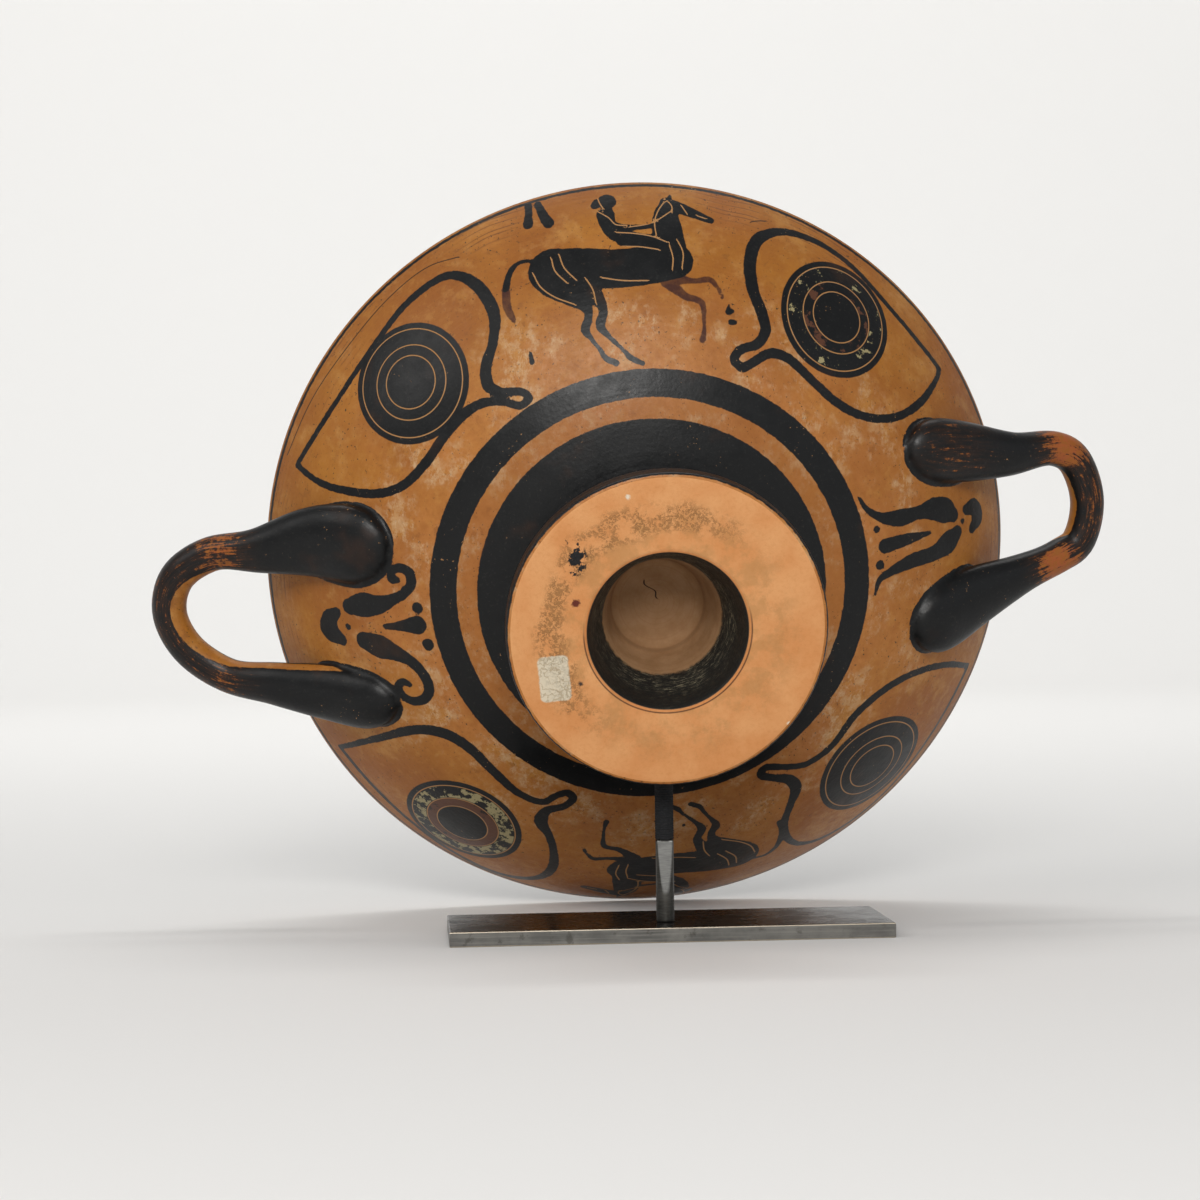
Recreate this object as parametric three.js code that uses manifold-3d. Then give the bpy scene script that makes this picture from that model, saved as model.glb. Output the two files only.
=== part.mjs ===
// A kylix: a shallow wide drinking cup of fired clay on a stemmed foot, with two loop handles.
// It is shown tipped forward on a small steel stand: its rim rests on the ground behind a base
// plate, and the stem lies in a bound fork that rises from the plate on a round post.
// Millimetres, +Z up. The origin is the middle of the base plate's underside, +X runs along the
// plate, and the cup's foot looks towards -Y.
import * as THREE from 'three';
import { mergeVertices } from 'three/addons/utils/BufferGeometryUtils.js';
import Module from 'manifold-3d';

// ---- driving dimensions: the cup, in its own upright frame (z = 0 under the foot) ----
const RIM_RADIUS = 150;
const CUP_HEIGHT = 120.5;
const BOWL_DEPTH = 70; // rim plane down to the crown of the bowl's outside
const RIM_SLOPE = THREE.MathUtils.degToRad(30); // the wall at the rim, from the upright
const WALL_AT_RIM = 4.2;
const WALL_AT_FLOOR = 6.5;
const LIP_ROUND = 1.4;
const STEM_RADIUS = 26.5;
const STEM_WAIST = 31; // height of the narrowest place
const STEM_START = 48; // radius where the bowl turns into the stem
const FOOT_RADIUS = 58.3;
const FOOT_EDGE = 9.5; // height of the foot's upright edge
const HOLLOW_RADIUS = 29.2; // mouth of the hollow under the foot
const HOLLOW_DEPTH = 43;

// ---- driving dimensions: handles. Spreads are distances from the handle's middle line ----
const ARM_STATIONS = [114, 128, 150, 169]; // outward distances from the cup's axis, past the root
const ARM_STANDOFFS = [-1, 0.5, 5]; // how far the arm's middle lies outside the bowl near its root
const ARM_HEIGHTS = [98.5, 105.2]; // and its heights where it has left the bowl
const TIP_HEIGHT = 108.5;
const CORNER_SETBACK = 5;
const GRIP_HALF_WIDTH = 7.1;
const GRIP_HALF_THICKNESS = 6.6;
const ROOT_HALF_THICKNESS = 8.2;
const HANDLES = [
  {
    side: -1,
    reach: 188.5,
    tip: -1,
    arms: [
      { root: 97, spread: [-23, -26.5, -27, -24.3, -23.4, -15], rootHalfWidth: 16 },
      { root: 101, spread: [36.5, 37, 35, 30.5, 26.5, 14], rootHalfWidth: 12.5 },
    ],
  },
  {
    side: 1,
    reach: 182.5,
    tip: -3,
    arms: [
      { root: 104, spread: [-38, -36.5, -33, -28.2, -26.8, -21], rootHalfWidth: 13 },
      { root: 101, spread: [32, 31, 27, 22, 17.6, 13.5], rootHalfWidth: 14.5 },
    ],
  },
];

// ---- driving dimensions: the pose of the cup and the stand ----
const CUP_PITCH = THREE.MathUtils.degToRad(14.8); // the cup's axis above the level
const CUP_TURN = THREE.MathUtils.degToRad(6.2); // the handles' line, turned about the cup's axis
const CUP_SIDE = -3;
const RIM_BACK = 70.2; // middle of the rim circle, behind the plate's middle
const PLATE = { length: 165, depth: 52, height: 5.6, bevel: 0.5 };
const POST = { x: -1.4, y: -8, radius: 3.4, bareTop: 36.5, flatFrom: 16, flatDepth: 1.6 };
const CORE_RADIUS = 2.5; // the thinner rod inside the binding
const BINDING_WALL = 0.75;
const GAP = 0.3;
const FORK_HEIGHT = 32; // where the fork meets the stem, along the cup's axis
const FORK_HALF_ANGLE = THREE.MathUtils.degToRad(78);
const FORK_END_CAP = 1.2;
const CUT_MARGIN = 3;

// ---- mesh fineness ----
const TURN_STEPS = 64;
const WALL_STEPS = 11;
const STEM_STEPS = 6;
const LOOP_STEPS = 30;
const LOOP_SIDES = 12;
const ROD_SIDES = 16;
const FORK_STEPS = 14;

const wasm = await Module();
wasm.setup();

// ---- solids from three.js geometry ----
function toSolid(geometry) {
  const bare = new THREE.BufferGeometry();
  const source = geometry.index ? geometry.toNonIndexed() : geometry;
  bare.setAttribute('position', source.getAttribute('position').clone());
  const merged = mergeVertices(bare, 1e-4);
  const vertProperties = new Float32Array(merged.getAttribute('position').array);
  const corners = Array.from(merged.index.array);
  const kept = [];
  for (let i = 0; i < corners.length; i += 3) {
    const [a, b, c] = corners.slice(i, i + 3);
    if (a !== b && b !== c && c !== a) kept.push(a, b, c);
  }
  const triVerts = new Uint32Array(kept);
  return new wasm.Manifold(new wasm.Mesh({ numProp: 3, vertProperties, triVerts }));
}

function toGeometry(solid) {
  const mesh = solid.getMesh();
  const geometry = new THREE.BufferGeometry();
  geometry.setAttribute('position', new THREE.BufferAttribute(new Float32Array(mesh.vertProperties), 3));
  geometry.setIndex(new THREE.BufferAttribute(new Uint32Array(mesh.triVerts), 1));
  geometry.computeVertexNormals();
  return geometry;
}

function turned(profile, steps = TURN_STEPS) {
  const points = profile.map(([r, z]) => new THREE.Vector2(r, z));
  const geometry = new THREE.LatheGeometry(points, steps);
  geometry.rotateX(Math.PI / 2);
  return toSolid(geometry);
}

function cubic(p0, p1, p2, p3, steps) {
  const curve = new THREE.CubicBezierCurve(...[p0, p1, p2, p3].map(([x, y]) => new THREE.Vector2(x, y)));
  return curve.getPoints(steps).map((p) => [p.x, p.y]);
}

// ---- the bowl's wall: a parabola from the rim to the crown, t = 0 at the rim and 1 on the axis ----
function bowlPoint(t) {
  const u = 1 - t;
  const knee = RIM_RADIUS - BOWL_DEPTH * Math.tan(RIM_SLOPE);
  const point = [RIM_RADIUS * u * u + 2 * t * u * knee, CUP_HEIGHT - BOWL_DEPTH * (1 - u * u)];
  const slope = [-2 * RIM_RADIUS * u + 2 * (1 - 2 * t) * knee, -2 * BOWL_DEPTH * u];
  return { point, slope };
}

function bowlParameter(radius) {
  let low = 0;
  let high = 1;
  for (let i = 0; i < 40; i += 1) {
    const middle = (low + high) / 2;
    if (bowlPoint(middle).point[0] > radius) low = middle;
    else high = middle;
  }
  return low;
}

function bowlHeight(radius) {
  return bowlPoint(bowlParameter(Math.min(radius, RIM_RADIUS))).point[1];
}

function outsideProfile() {
  const stemStart = bowlParameter(STEM_START);
  const { point, slope } = bowlPoint(stemStart);
  const length = Math.hypot(...slope);
  const lead = [point[0] + (slope[0] / length) * 15, point[1] + (slope[1] / length) * 15];
  const wall = [];
  const first = LIP_ROUND / (2 * BOWL_DEPTH);
  for (let i = 0; i <= WALL_STEPS; i += 1) {
    wall.push(bowlPoint(first + ((stemStart - first) * i) / WALL_STEPS).point);
  }
  const waist = [STEM_RADIUS, STEM_WAIST];
  const stem = cubic(point, lead, [STEM_RADIUS, STEM_WAIST + 13], waist, STEM_STEPS);
  const footTop = [FOOT_RADIUS - 4, FOOT_EDGE + 1.3];
  const flare = cubic(waist, [STEM_RADIUS, STEM_WAIST - 13], [FOOT_RADIUS - 23, FOOT_EDGE + 4], footTop, STEM_STEPS);
  const edge = [
    [FOOT_RADIUS - 1, FOOT_EDGE + 0.4],
    [FOOT_RADIUS, FOOT_EDGE - 1],
    [FOOT_RADIUS, 1.4],
    [FOOT_RADIUS - 0.5, 0.4],
    [FOOT_RADIUS - 1.4, 0],
    [0, 0],
  ];
  const lip = [
    [0, CUP_HEIGHT],
    [RIM_RADIUS - 2.1, CUP_HEIGHT],
    [RIM_RADIUS - 0.7, CUP_HEIGHT - 0.4],
  ];
  return [...lip, ...wall, ...stem.slice(1), ...flare.slice(1), ...edge].reverse();
}

function insideProfile() {
  const wall = [];
  const first = LIP_ROUND / BOWL_DEPTH;
  for (let i = 0; i <= WALL_STEPS; i += 1) {
    const t = first + ((1 - first) * i) / WALL_STEPS;
    const { point, slope } = bowlPoint(t);
    const thickness = WALL_AT_RIM + (WALL_AT_FLOOR - WALL_AT_RIM) * t * t;
    const length = Math.hypot(...slope);
    const r = point[0] + (slope[1] / length) * thickness;
    wall.push([Math.max(r, 0), point[1] - (slope[0] / length) * thickness]);
  }
  wall[wall.length - 1][0] = 0;
  const inner = wall[0];
  const mouth = [
    [0, CUP_HEIGHT + CUT_MARGIN],
    [RIM_RADIUS - 2.3, CUP_HEIGHT + CUT_MARGIN],
    [RIM_RADIUS - 2.7, CUP_HEIGHT],
    [(inner[0] + RIM_RADIUS - 2.7) / 2 - 0.4, (inner[1] + CUP_HEIGHT) / 2 + 0.2],
  ];
  return [...mouth, ...wall].reverse();
}

// The hollow narrows from its mouth to a neck half way up, and ends in a low dome.
function hollowProfile() {
  const neck = HOLLOW_RADIUS - 7;
  return [
    [0, -CUT_MARGIN],
    [HOLLOW_RADIUS + 0.4, -CUT_MARGIN],
    [HOLLOW_RADIUS + 0.4, 0],
    [HOLLOW_RADIUS - 0.4, 1.2],
    [HOLLOW_RADIUS - 2.6, HOLLOW_DEPTH * 0.24],
    [neck, HOLLOW_DEPTH * 0.48],
    [neck - 2.4, HOLLOW_DEPTH * 0.7],
    [neck - 4.2, HOLLOW_DEPTH * 0.88],
    [neck - 6.5, HOLLOW_DEPTH * 0.95],
    [neck - 12, HOLLOW_DEPTH * 0.985],
    [0, HOLLOW_DEPTH],
  ];
}

// ---- lofting: oval sections carried along a path, closed by a fan at each end ----
function loft(path, steps, sides, up, sizeAt) {
  const positions = [];
  const indices = [];
  for (let i = 0; i <= steps; i += 1) {
    const s = i / steps;
    const centre = path.getPointAt(s);
    const along = path.getTangentAt(s);
    const across = new THREE.Vector3().crossVectors(along, up).normalize();
    const over = new THREE.Vector3().crossVectors(across, along).normalize();
    const [halfWidth, halfThickness] = sizeAt(s);
    for (let j = 0; j < sides; j += 1) {
      const angle = (2 * Math.PI * j) / sides;
      const place = centre.clone();
      place.addScaledVector(across, halfWidth * Math.cos(angle));
      place.addScaledVector(over, halfThickness * Math.sin(angle));
      positions.push(place.x, place.y, place.z);
    }
  }
  for (let i = 0; i < steps; i += 1) {
    for (let j = 0; j < sides; j += 1) {
      const a = i * sides + j;
      const b = i * sides + ((j + 1) % sides);
      indices.push(a, b, a + sides, b, b + sides, a + sides);
    }
  }
  for (const [start, flip] of [[0, true], [steps * sides, false]]) {
    for (let j = 1; j < sides - 1; j += 1) {
      if (flip) indices.push(start, start + j + 1, start + j);
      else indices.push(start, start + j, start + j + 1);
    }
  }
  const geometry = new THREE.BufferGeometry();
  geometry.setAttribute('position', new THREE.Float32BufferAttribute(positions, 3));
  geometry.setIndex(indices);
  return facingOut(toSolid(geometry), geometry);
}

function facingOut(solid, geometry) {
  if (solid.volume() > 0) return solid;
  const turnedIndex = [];
  const index = geometry.index.array;
  for (let i = 0; i < index.length; i += 3) turnedIndex.push(index[i], index[i + 2], index[i + 1]);
  geometry.setIndex(turnedIndex);
  return toSolid(geometry);
}

function armPoints({ side, reach }, { root, spread }) {
  const stations = [root, ...ARM_STATIONS, reach - CORNER_SETBACK];
  const heights = [...ARM_HEIGHTS, TIP_HEIGHT - 0.8];
  return stations.map((x, i) => {
    const y = spread[i];
    const onBowl = i < ARM_STANDOFFS.length;
    const z = onBowl ? bowlHeight(Math.hypot(x, y)) - ARM_STANDOFFS[i] : heights[i - ARM_STANDOFFS.length];
    return new THREE.Vector3(side * x, y, z);
  });
}

function handleSolid(handle) {
  const [first, second] = handle.arms.map((arm) => armPoints(handle, arm));
  const tip = new THREE.Vector3(handle.side * handle.reach, handle.tip, TIP_HEIGHT);
  const path = new THREE.CatmullRomCurve3([...first, tip, ...second.reverse()], false, 'centripetal');
  const up = new THREE.Vector3(-0.5 * handle.side, 0, 1).normalize();
  const sizeAt = (s) => {
    const arm = handle.arms[s < 0.5 ? 0 : 1];
    const out = Math.abs(2 * s - 1);
    const swell = THREE.MathUtils.smoothstep(out, 0.3, 0.84);
    const round = out > 0.84 ? Math.sqrt(Math.max(1 - ((out - 0.84) / 0.165) ** 2, 0.04)) : 1;
    const halfWidth = THREE.MathUtils.lerp(GRIP_HALF_WIDTH, arm.rootHalfWidth, swell) * round;
    const halfThickness = THREE.MathUtils.lerp(GRIP_HALF_THICKNESS, ROOT_HALF_THICKNESS, swell) * round;
    return [halfWidth, halfThickness];
  };
  return loft(path, LOOP_STEPS, LOOP_SIDES, up, sizeAt);
}

function kylix() {
  let cup = turned(outsideProfile());
  for (const handle of HANDLES) cup = cup.add(handleSolid(handle));
  cup = cup.subtract(turned(insideProfile()));
  return cup.subtract(turned(hollowProfile(), TURN_STEPS / 2));
}

// ---- the pose: the cup's upright frame laid forward about its rim's lowest point ----
function cupPose() {
  const restHeight = RIM_RADIUS * Math.cos(CUP_PITCH) + LIP_ROUND * Math.sin(CUP_PITCH) - 0.15;
  const axis = new THREE.Vector3(0, Math.cos(CUP_PITCH), Math.sin(CUP_PITCH));
  const foot = new THREE.Vector3(CUP_SIDE, RIM_BACK, restHeight).addScaledVector(axis, -CUP_HEIGHT);
  const turn = new THREE.Euler(CUP_PITCH - Math.PI / 2, 0, -CUP_TURN);
  return { axis, foot, turn };
}

// ---- the stand ----
function plate() {
  const { length, depth, height, bevel } = PLATE;
  const outline = new THREE.Shape();
  const x = length / 2 - bevel;
  const y = depth / 2 - bevel;
  outline.setFromPoints([[-x, -y], [x, -y], [x, y], [-x, y]].map((p) => new THREE.Vector2(...p)));
  const geometry = new THREE.ExtrudeGeometry(outline, {
    depth: height - 2 * bevel,
    bevelSize: bevel,
    bevelThickness: bevel,
    bevelSegments: 2,
  });
  geometry.translate(0, 0, bevel);
  return toSolid(geometry);
}

function uprightRod(radius, low, high) {
  const geometry = new THREE.CylinderGeometry(radius, radius, high - low, ROD_SIDES);
  geometry.rotateX(Math.PI / 2);
  geometry.translate(POST.x, POST.y, (low + high) / 2);
  return toSolid(geometry);
}

// The fork is an arc about the cup's axis, open towards the top.
function forkRod(radius, shorten) {
  const { axis, foot } = cupPose();
  const centre = foot.clone().addScaledVector(axis, FORK_HEIGHT);
  const down = new THREE.Vector3(0, Math.sin(CUP_PITCH), -Math.cos(CUP_PITCH));
  const aside = new THREE.Vector3(1, 0, 0);
  const bend = forkRadius();
  const half = FORK_HALF_ANGLE - shorten / bend;
  const points = [];
  for (let i = 0; i <= FORK_STEPS; i += 1) {
    const angle = -half + (2 * half * i) / FORK_STEPS;
    const place = centre.clone().addScaledVector(down, bend * Math.cos(angle));
    points.push(place.addScaledVector(aside, bend * Math.sin(angle)));
  }
  const path = new THREE.CatmullRomCurve3(points);
  return loft(path, FORK_STEPS, ROD_SIDES / 2, axis, () => [radius, radius]);
}

function forkRadius() {
  return STEM_RADIUS + 2 * GAP + CORE_RADIUS + BINDING_WALL + GAP;
}

function forkLowest() {
  const { foot, axis } = cupPose();
  return foot.z + axis.z * FORK_HEIGHT - forkRadius() * Math.cos(CUP_PITCH);
}

// The post's front is ground away along a slanting plane, deepest where the binding begins.
function frontGrind() {
  const { x, y, radius, bareTop, flatFrom, flatDepth } = POST;
  const side = new THREE.Shape();
  side.moveTo(-radius - 1, flatFrom);
  side.lineTo(-radius, flatFrom);
  side.lineTo(-radius + flatDepth, bareTop);
  side.lineTo(-radius - 1, bareTop);
  const geometry = new THREE.ExtrudeGeometry(side, { depth: 4 * radius, bevelEnabled: false });
  geometry.translate(0, 0, -2 * radius);
  geometry.applyMatrix4(new THREE.Matrix4().makeBasis(
    new THREE.Vector3(0, 1, 0),
    new THREE.Vector3(0, 0, 1),
    new THREE.Vector3(1, 0, 0),
  ));
  geometry.translate(x, y, 0);
  return toSolid(geometry);
}

function post() {
  const bare = uprightRod(POST.radius, PLATE.height, POST.bareTop - GAP).subtract(frontGrind());
  const core = uprightRod(CORE_RADIUS, POST.bareTop - 5, forkLowest());
  return bare.add(core).add(forkRod(CORE_RADIUS, FORK_END_CAP + GAP));
}

function binding() {
  const outer = CORE_RADIUS + GAP + BINDING_WALL;
  const inner = CORE_RADIUS + GAP;
  const wrap = uprightRod(outer, POST.bareTop, forkLowest()).add(forkRod(outer, 0));
  const hollow = uprightRod(inner, POST.bareTop - CUT_MARGIN, forkLowest());
  return wrap.subtract(hollow.add(forkRod(inner, FORK_END_CAP)));
}

// ---- materials ----
const clay = new THREE.MeshStandardMaterial({ color: 0xb5713a, roughness: 0.55, metalness: 0 });
const steel = new THREE.MeshStandardMaterial({ color: 0x6d6a66, roughness: 0.35, metalness: 1 });
const plateSteel = new THREE.MeshStandardMaterial({ color: 0x5c5854, roughness: 0.3, metalness: 1 });
const thread = new THREE.MeshStandardMaterial({ color: 0x16181b, roughness: 0.8, metalness: 0 });

function named(name, solid, material) {
  const mesh = new THREE.Mesh(toGeometry(solid), material);
  mesh.name = name;
  return mesh;
}

// ---- the assembly ----
const part = new THREE.Group();
const cup = new THREE.Group();
const pose = cupPose();
cup.position.copy(pose.foot);
cup.rotation.copy(pose.turn);
cup.add(named('kylix', kylix(), clay));
part.add(cup);
part.add(named('base_plate', plate(), plateSteel));
part.add(named('post', post(), steel));
part.add(named('binding', binding(), thread));

export default part;
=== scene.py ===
"""A painted kylix, tipped forward on a small steel stand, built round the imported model.

Sizes are millimetres until a mesh is made, then metres. The cup is worked out upright in its own
frame (z = 0 under the foot, x through the handles) and is laid over at the end. Its paint is drawn
on a chart of the bowl's outside: distance from the chart's middle is the distance along the clay
from the cup's axis, x runs to the right and y up for someone who looks at the foot.
"""

import bpy
import numpy as np
from mathutils import Matrix, Vector
from mathutils.bvhtree import BVHTree


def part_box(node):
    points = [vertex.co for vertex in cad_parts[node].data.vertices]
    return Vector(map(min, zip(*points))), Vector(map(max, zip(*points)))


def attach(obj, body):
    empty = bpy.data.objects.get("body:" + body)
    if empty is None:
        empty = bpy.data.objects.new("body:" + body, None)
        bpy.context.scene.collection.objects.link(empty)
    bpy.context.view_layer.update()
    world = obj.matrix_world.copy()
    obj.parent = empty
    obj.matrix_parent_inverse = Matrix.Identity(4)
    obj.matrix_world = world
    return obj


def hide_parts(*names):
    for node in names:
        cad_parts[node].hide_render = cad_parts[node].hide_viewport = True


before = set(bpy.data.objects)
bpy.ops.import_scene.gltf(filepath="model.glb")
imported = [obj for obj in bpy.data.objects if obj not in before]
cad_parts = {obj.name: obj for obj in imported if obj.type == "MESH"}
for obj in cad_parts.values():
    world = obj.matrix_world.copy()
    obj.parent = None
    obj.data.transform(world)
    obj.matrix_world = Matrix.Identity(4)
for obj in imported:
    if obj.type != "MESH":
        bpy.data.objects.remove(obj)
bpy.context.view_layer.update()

MM = 0.001

# ---- the cup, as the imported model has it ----
RIM_RADIUS = 150.0
CUP_HEIGHT = 120.5
BOWL_DEPTH = 70.0
RIM_SLOPE = np.radians(30)
WALL_AT_RIM, WALL_AT_FLOOR = 4.2, 6.5
LIP_ROUND = 1.4
STEM_RADIUS, STEM_WAIST, STEM_START = 26.5, 31.0, 48.0
FOOT_RADIUS, FOOT_EDGE = 58.3, 9.5
HOLLOW_RADIUS, HOLLOW_DEPTH = 29.2, 43.0
ARM_STATIONS = (114, 128, 150, 169)
ARM_STANDOFFS = (-1, 0.5, 5)
ARM_HEIGHTS = (98.5, 105.2)
TIP_HEIGHT = 108.5
CORNER_SETBACK = 5
GRIP_HALF_WIDTH, GRIP_HALF_THICKNESS, ROOT_HALF_THICKNESS = 7.1, 6.6, 8.2
HANDLES = (
    {"side": -1, "reach": 188.5, "tip": -1, "arms": (
        {"root": 97, "spread": (-23, -26.5, -27, -24.3, -23.4, -15), "half_width": 16},
        {"root": 101, "spread": (36.5, 37, 35, 30.5, 26.5, 14), "half_width": 12.5})},
    {"side": 1, "reach": 182.5, "tip": -3, "arms": (
        {"root": 104, "spread": (-38, -36.5, -33, -28.2, -26.8, -21), "half_width": 13},
        {"root": 101, "spread": (32, 31, 27, 22, 17.6, 13.5), "half_width": 14.5})},
)
SLACK = 0.12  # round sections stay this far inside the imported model's faceted ones

# ---- the cup's pose ----
CUP_PITCH = np.radians(14.8)
CUP_TURN = np.radians(6.2)
CUP_SIDE = -3.0
RIM_BACK = 70.2
REST_HEIGHT = RIM_RADIUS * np.cos(CUP_PITCH) + LIP_ROUND * np.sin(CUP_PITCH) - 0.15
CUP_AXIS = np.array([0.0, np.cos(CUP_PITCH), np.sin(CUP_PITCH)])
CUP_DOWN = np.array([0.0, np.sin(CUP_PITCH), -np.cos(CUP_PITCH)])
CUP_X = np.cos(CUP_TURN) * np.array([1.0, 0, 0]) - np.sin(CUP_TURN) * CUP_DOWN
CUP_Y = np.sin(CUP_TURN) * np.array([1.0, 0, 0]) + np.cos(CUP_TURN) * CUP_DOWN
CUP_FOOT = np.array([CUP_SIDE, RIM_BACK, REST_HEIGHT]) - CUP_AXIS * CUP_HEIGHT

# ---- the stand ----
PLATE_TOP = 5.6
POST_X, POST_Y, POST_RADIUS, BARE_TOP = -1.4, -8.0, 3.4, 36.5
FLAT_FROM, FLAT_DEPTH = 16.0, 1.6
CORE_RADIUS, BINDING_WALL, GAP = 2.5, 0.75, 0.3
FORK_HEIGHT, FORK_HALF_ANGLE, FORK_END_CAP = 32.0, np.radians(78), 1.2
FORK_RADIUS = STEM_RADIUS + 2 * GAP + CORE_RADIUS + BINDING_WALL + GAP
TURN_OF_THREAD = 0.9


# =============================== curves and meshes ===============================

def smoothstep(low, high, value):
    """0 below low, 1 above high, and a soft rise between them: 3 s squared less 2 s cubed."""
    share = np.clip((value - low) / (high - low), 0, 1)
    return share * share * (3 - 2 * share)


def smooth_curve(points, samples=8):
    """A centripetal Catmull-Rom curve through the points: each span is a blend of three straight
    ones, with knots apart by the square root of the distance, and is cut into equal samples."""
    points = np.asarray(points, float)
    ends = (2 * points[:1] - points[1:2], points, 2 * points[-1:] - points[-2:-1])
    line = np.concatenate(ends)
    p0, p1, p2, p3 = line[:-3], line[1:-2], line[2:-1], line[3:]
    width = line.shape[1]
    place = min(width, 3)  # a fourth column rides along and doesn't space the knots
    knots = [np.zeros((len(p0), 1, 1))]
    for a, b in ((p0, p1), (p1, p2), (p2, p3)):
        step = np.sqrt(np.linalg.norm((b - a)[:, :place], axis=1))[:, None, None]
        knots.append(knots[-1] + np.maximum(step, 1e-3))
    t0, t1, t2, t3 = knots
    t = t1 + (t2 - t1) * np.linspace(0, 1, samples + 1)[None, :-1, None]
    p0, p1, p2, p3 = (p[:, None] for p in (p0, p1, p2, p3))
    a1 = (t1 - t) / (t1 - t0) * p0 + (t - t0) / (t1 - t0) * p1
    a2 = (t2 - t) / (t2 - t1) * p1 + (t - t1) / (t2 - t1) * p2
    a3 = (t3 - t) / (t3 - t2) * p2 + (t - t2) / (t3 - t2) * p3
    b1 = (t2 - t) / (t2 - t0) * a1 + (t - t0) / (t2 - t0) * a2
    b2 = (t3 - t) / (t3 - t1) * a2 + (t - t1) / (t3 - t1) * a3
    curve = (t2 - t) / (t2 - t1) * b1 + (t - t1) / (t2 - t1) * b2
    return np.concatenate([curve.reshape(-1, width), points[-1:]])


def run_along(curve):
    """The distance along a chain of points, from 0 at its first."""
    return np.concatenate([[0], np.cumsum(np.linalg.norm(np.diff(curve, axis=0), axis=1))])


def evenly(curve, steps):
    """The same curve at equal distances along it."""
    run = run_along(curve)
    at = np.linspace(0, run[-1], steps + 1)
    return np.stack([np.interp(at, run, column) for column in curve.T], 1)


def bezier(p0, p1, p2, p3, steps):
    """A cubic through p0 and p3 that leaves and arrives along the lines to p1 and p2."""
    t = np.linspace(0, 1, steps + 1)[:, None]
    p0, p1, p2, p3 = (np.asarray(p, float) for p in (p0, p1, p2, p3))
    return (1 - t) ** 3 * p0 + 3 * t * (1 - t) ** 2 * p1 + 3 * t * t * (1 - t) * p2 + t ** 3 * p3


def placed(name, data):
    """A new object in the scene that holds this mesh, lamp or lens."""
    thing = bpy.data.objects.new(name, data)
    bpy.context.scene.collection.objects.link(thing)
    return thing


def lofted(centres, up, half_widths, half_heights, sides, name):
    """Oval sections along a path: centre plus half width times cosine across the path plus half
    height times sine over it. Each end is closed by a fan on its own middle point."""
    along = np.gradient(centres, axis=0)
    along /= np.linalg.norm(along, axis=1, keepdims=True)
    across = np.cross(along, up)
    across /= np.linalg.norm(across, axis=1, keepdims=True)
    over = np.cross(across, along)
    angle = np.linspace(0, 2 * np.pi, sides, endpoint=False)
    ring = (centres[:, None] + across[:, None] * (half_widths[:, None] * np.cos(angle))[..., None]
            + over[:, None] * (half_heights[:, None] * np.sin(angle))[..., None])
    count = len(centres)
    grid = np.arange(count * sides).reshape(count, sides)
    a, b = grid[:-1], np.roll(grid[:-1], -1, 1)
    c, d = np.roll(grid[1:], -1, 1), grid[1:]
    quads = np.stack([a, b, c, d], -1).reshape(-1, 4)
    first, last = count * sides, count * sides + 1
    start = np.stack([np.roll(grid[0], -1), grid[0], np.full(sides, first)], -1)
    stop = np.stack([grid[-1], np.roll(grid[-1], -1), np.full(sides, last)], -1)
    vertices = np.concatenate([ring.reshape(-1, 3), centres[[0, -1]]])
    return turned_out(vertices, quads, np.concatenate([start, stop]), name)


def turned_out(vertices, quads, triangles, name):
    """A closed mesh whose faces point outwards: its volume, summed over its faces, is positive."""
    halves = np.concatenate([quads[:, [0, 1, 2]], quads[:, [0, 2, 3]], triangles])
    a, b, c = (vertices[halves[:, i]] for i in range(3))
    if np.einsum("ij,ij->i", a, np.cross(b, c)).sum() < 0:
        quads, triangles = quads[:, ::-1], triangles[:, ::-1]
    mesh = bpy.data.meshes.new(name)
    mesh.from_pydata(vertices.tolist(), [], quads.tolist() + triangles.tolist())
    return placed(name, mesh)


def fused(body, others, operation="UNION"):
    """One closed mesh from several: the others are joined to body, or cut out of it."""
    for other in others:
        step = body.modifiers.new("join", "BOOLEAN")
        step.operation = operation
        step.solver = "MANIFOLD"
        step.object = other
    graph = bpy.context.evaluated_depsgraph_get()
    mesh = bpy.data.meshes.new_from_object(body.evaluated_get(graph), depsgraph=graph)
    for thing in (body, *others):
        bpy.data.objects.remove(thing)
    return mesh


def vertices_of(mesh):
    """The mesh's vertices as rows of x, y and z."""
    found = np.empty(len(mesh.vertices) * 3)
    mesh.vertices.foreach_get("co", found)
    return found.reshape(-1, 3)


def finished(name, mesh, materials, nodes):
    """The mesh as a shown piece: smooth, with its materials, on the model's only body."""
    mesh.materials.clear()
    for material in materials:
        mesh.materials.append(material)
    mesh.shade_smooth()
    piece = placed(name, mesh)
    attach(piece, "root")
    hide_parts(*nodes)
    return piece


# =============================== the cup's shape ===============================

def bowl_point(t):
    """The bowl's outside, a parabola from the rim (t = 0) to its crown on the axis (t = 1)."""
    u = 1 - t
    knee = RIM_RADIUS - BOWL_DEPTH * np.tan(RIM_SLOPE)
    place = np.stack([RIM_RADIUS * u * u + 2 * t * u * knee, CUP_HEIGHT - BOWL_DEPTH * (1 - u * u)], 1)
    slope = np.stack([-2 * RIM_RADIUS * u + 2 * (1 - 2 * t) * knee, -2 * BOWL_DEPTH * u], 1)
    return place, slope / np.linalg.norm(slope, axis=1, keepdims=True)


BOWL_T = np.linspace(1, 0, 1201)
BOWL_TABLE = bowl_point(np.minimum(BOWL_T, 0.99999))[0]
BOWL_ARC = run_along(BOWL_TABLE)


def bowl_height(radius):
    """The height of the bowl's outside at this distance from the axis."""
    return np.interp(radius, BOWL_TABLE[:, 0], BOWL_TABLE[:, 1])


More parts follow.
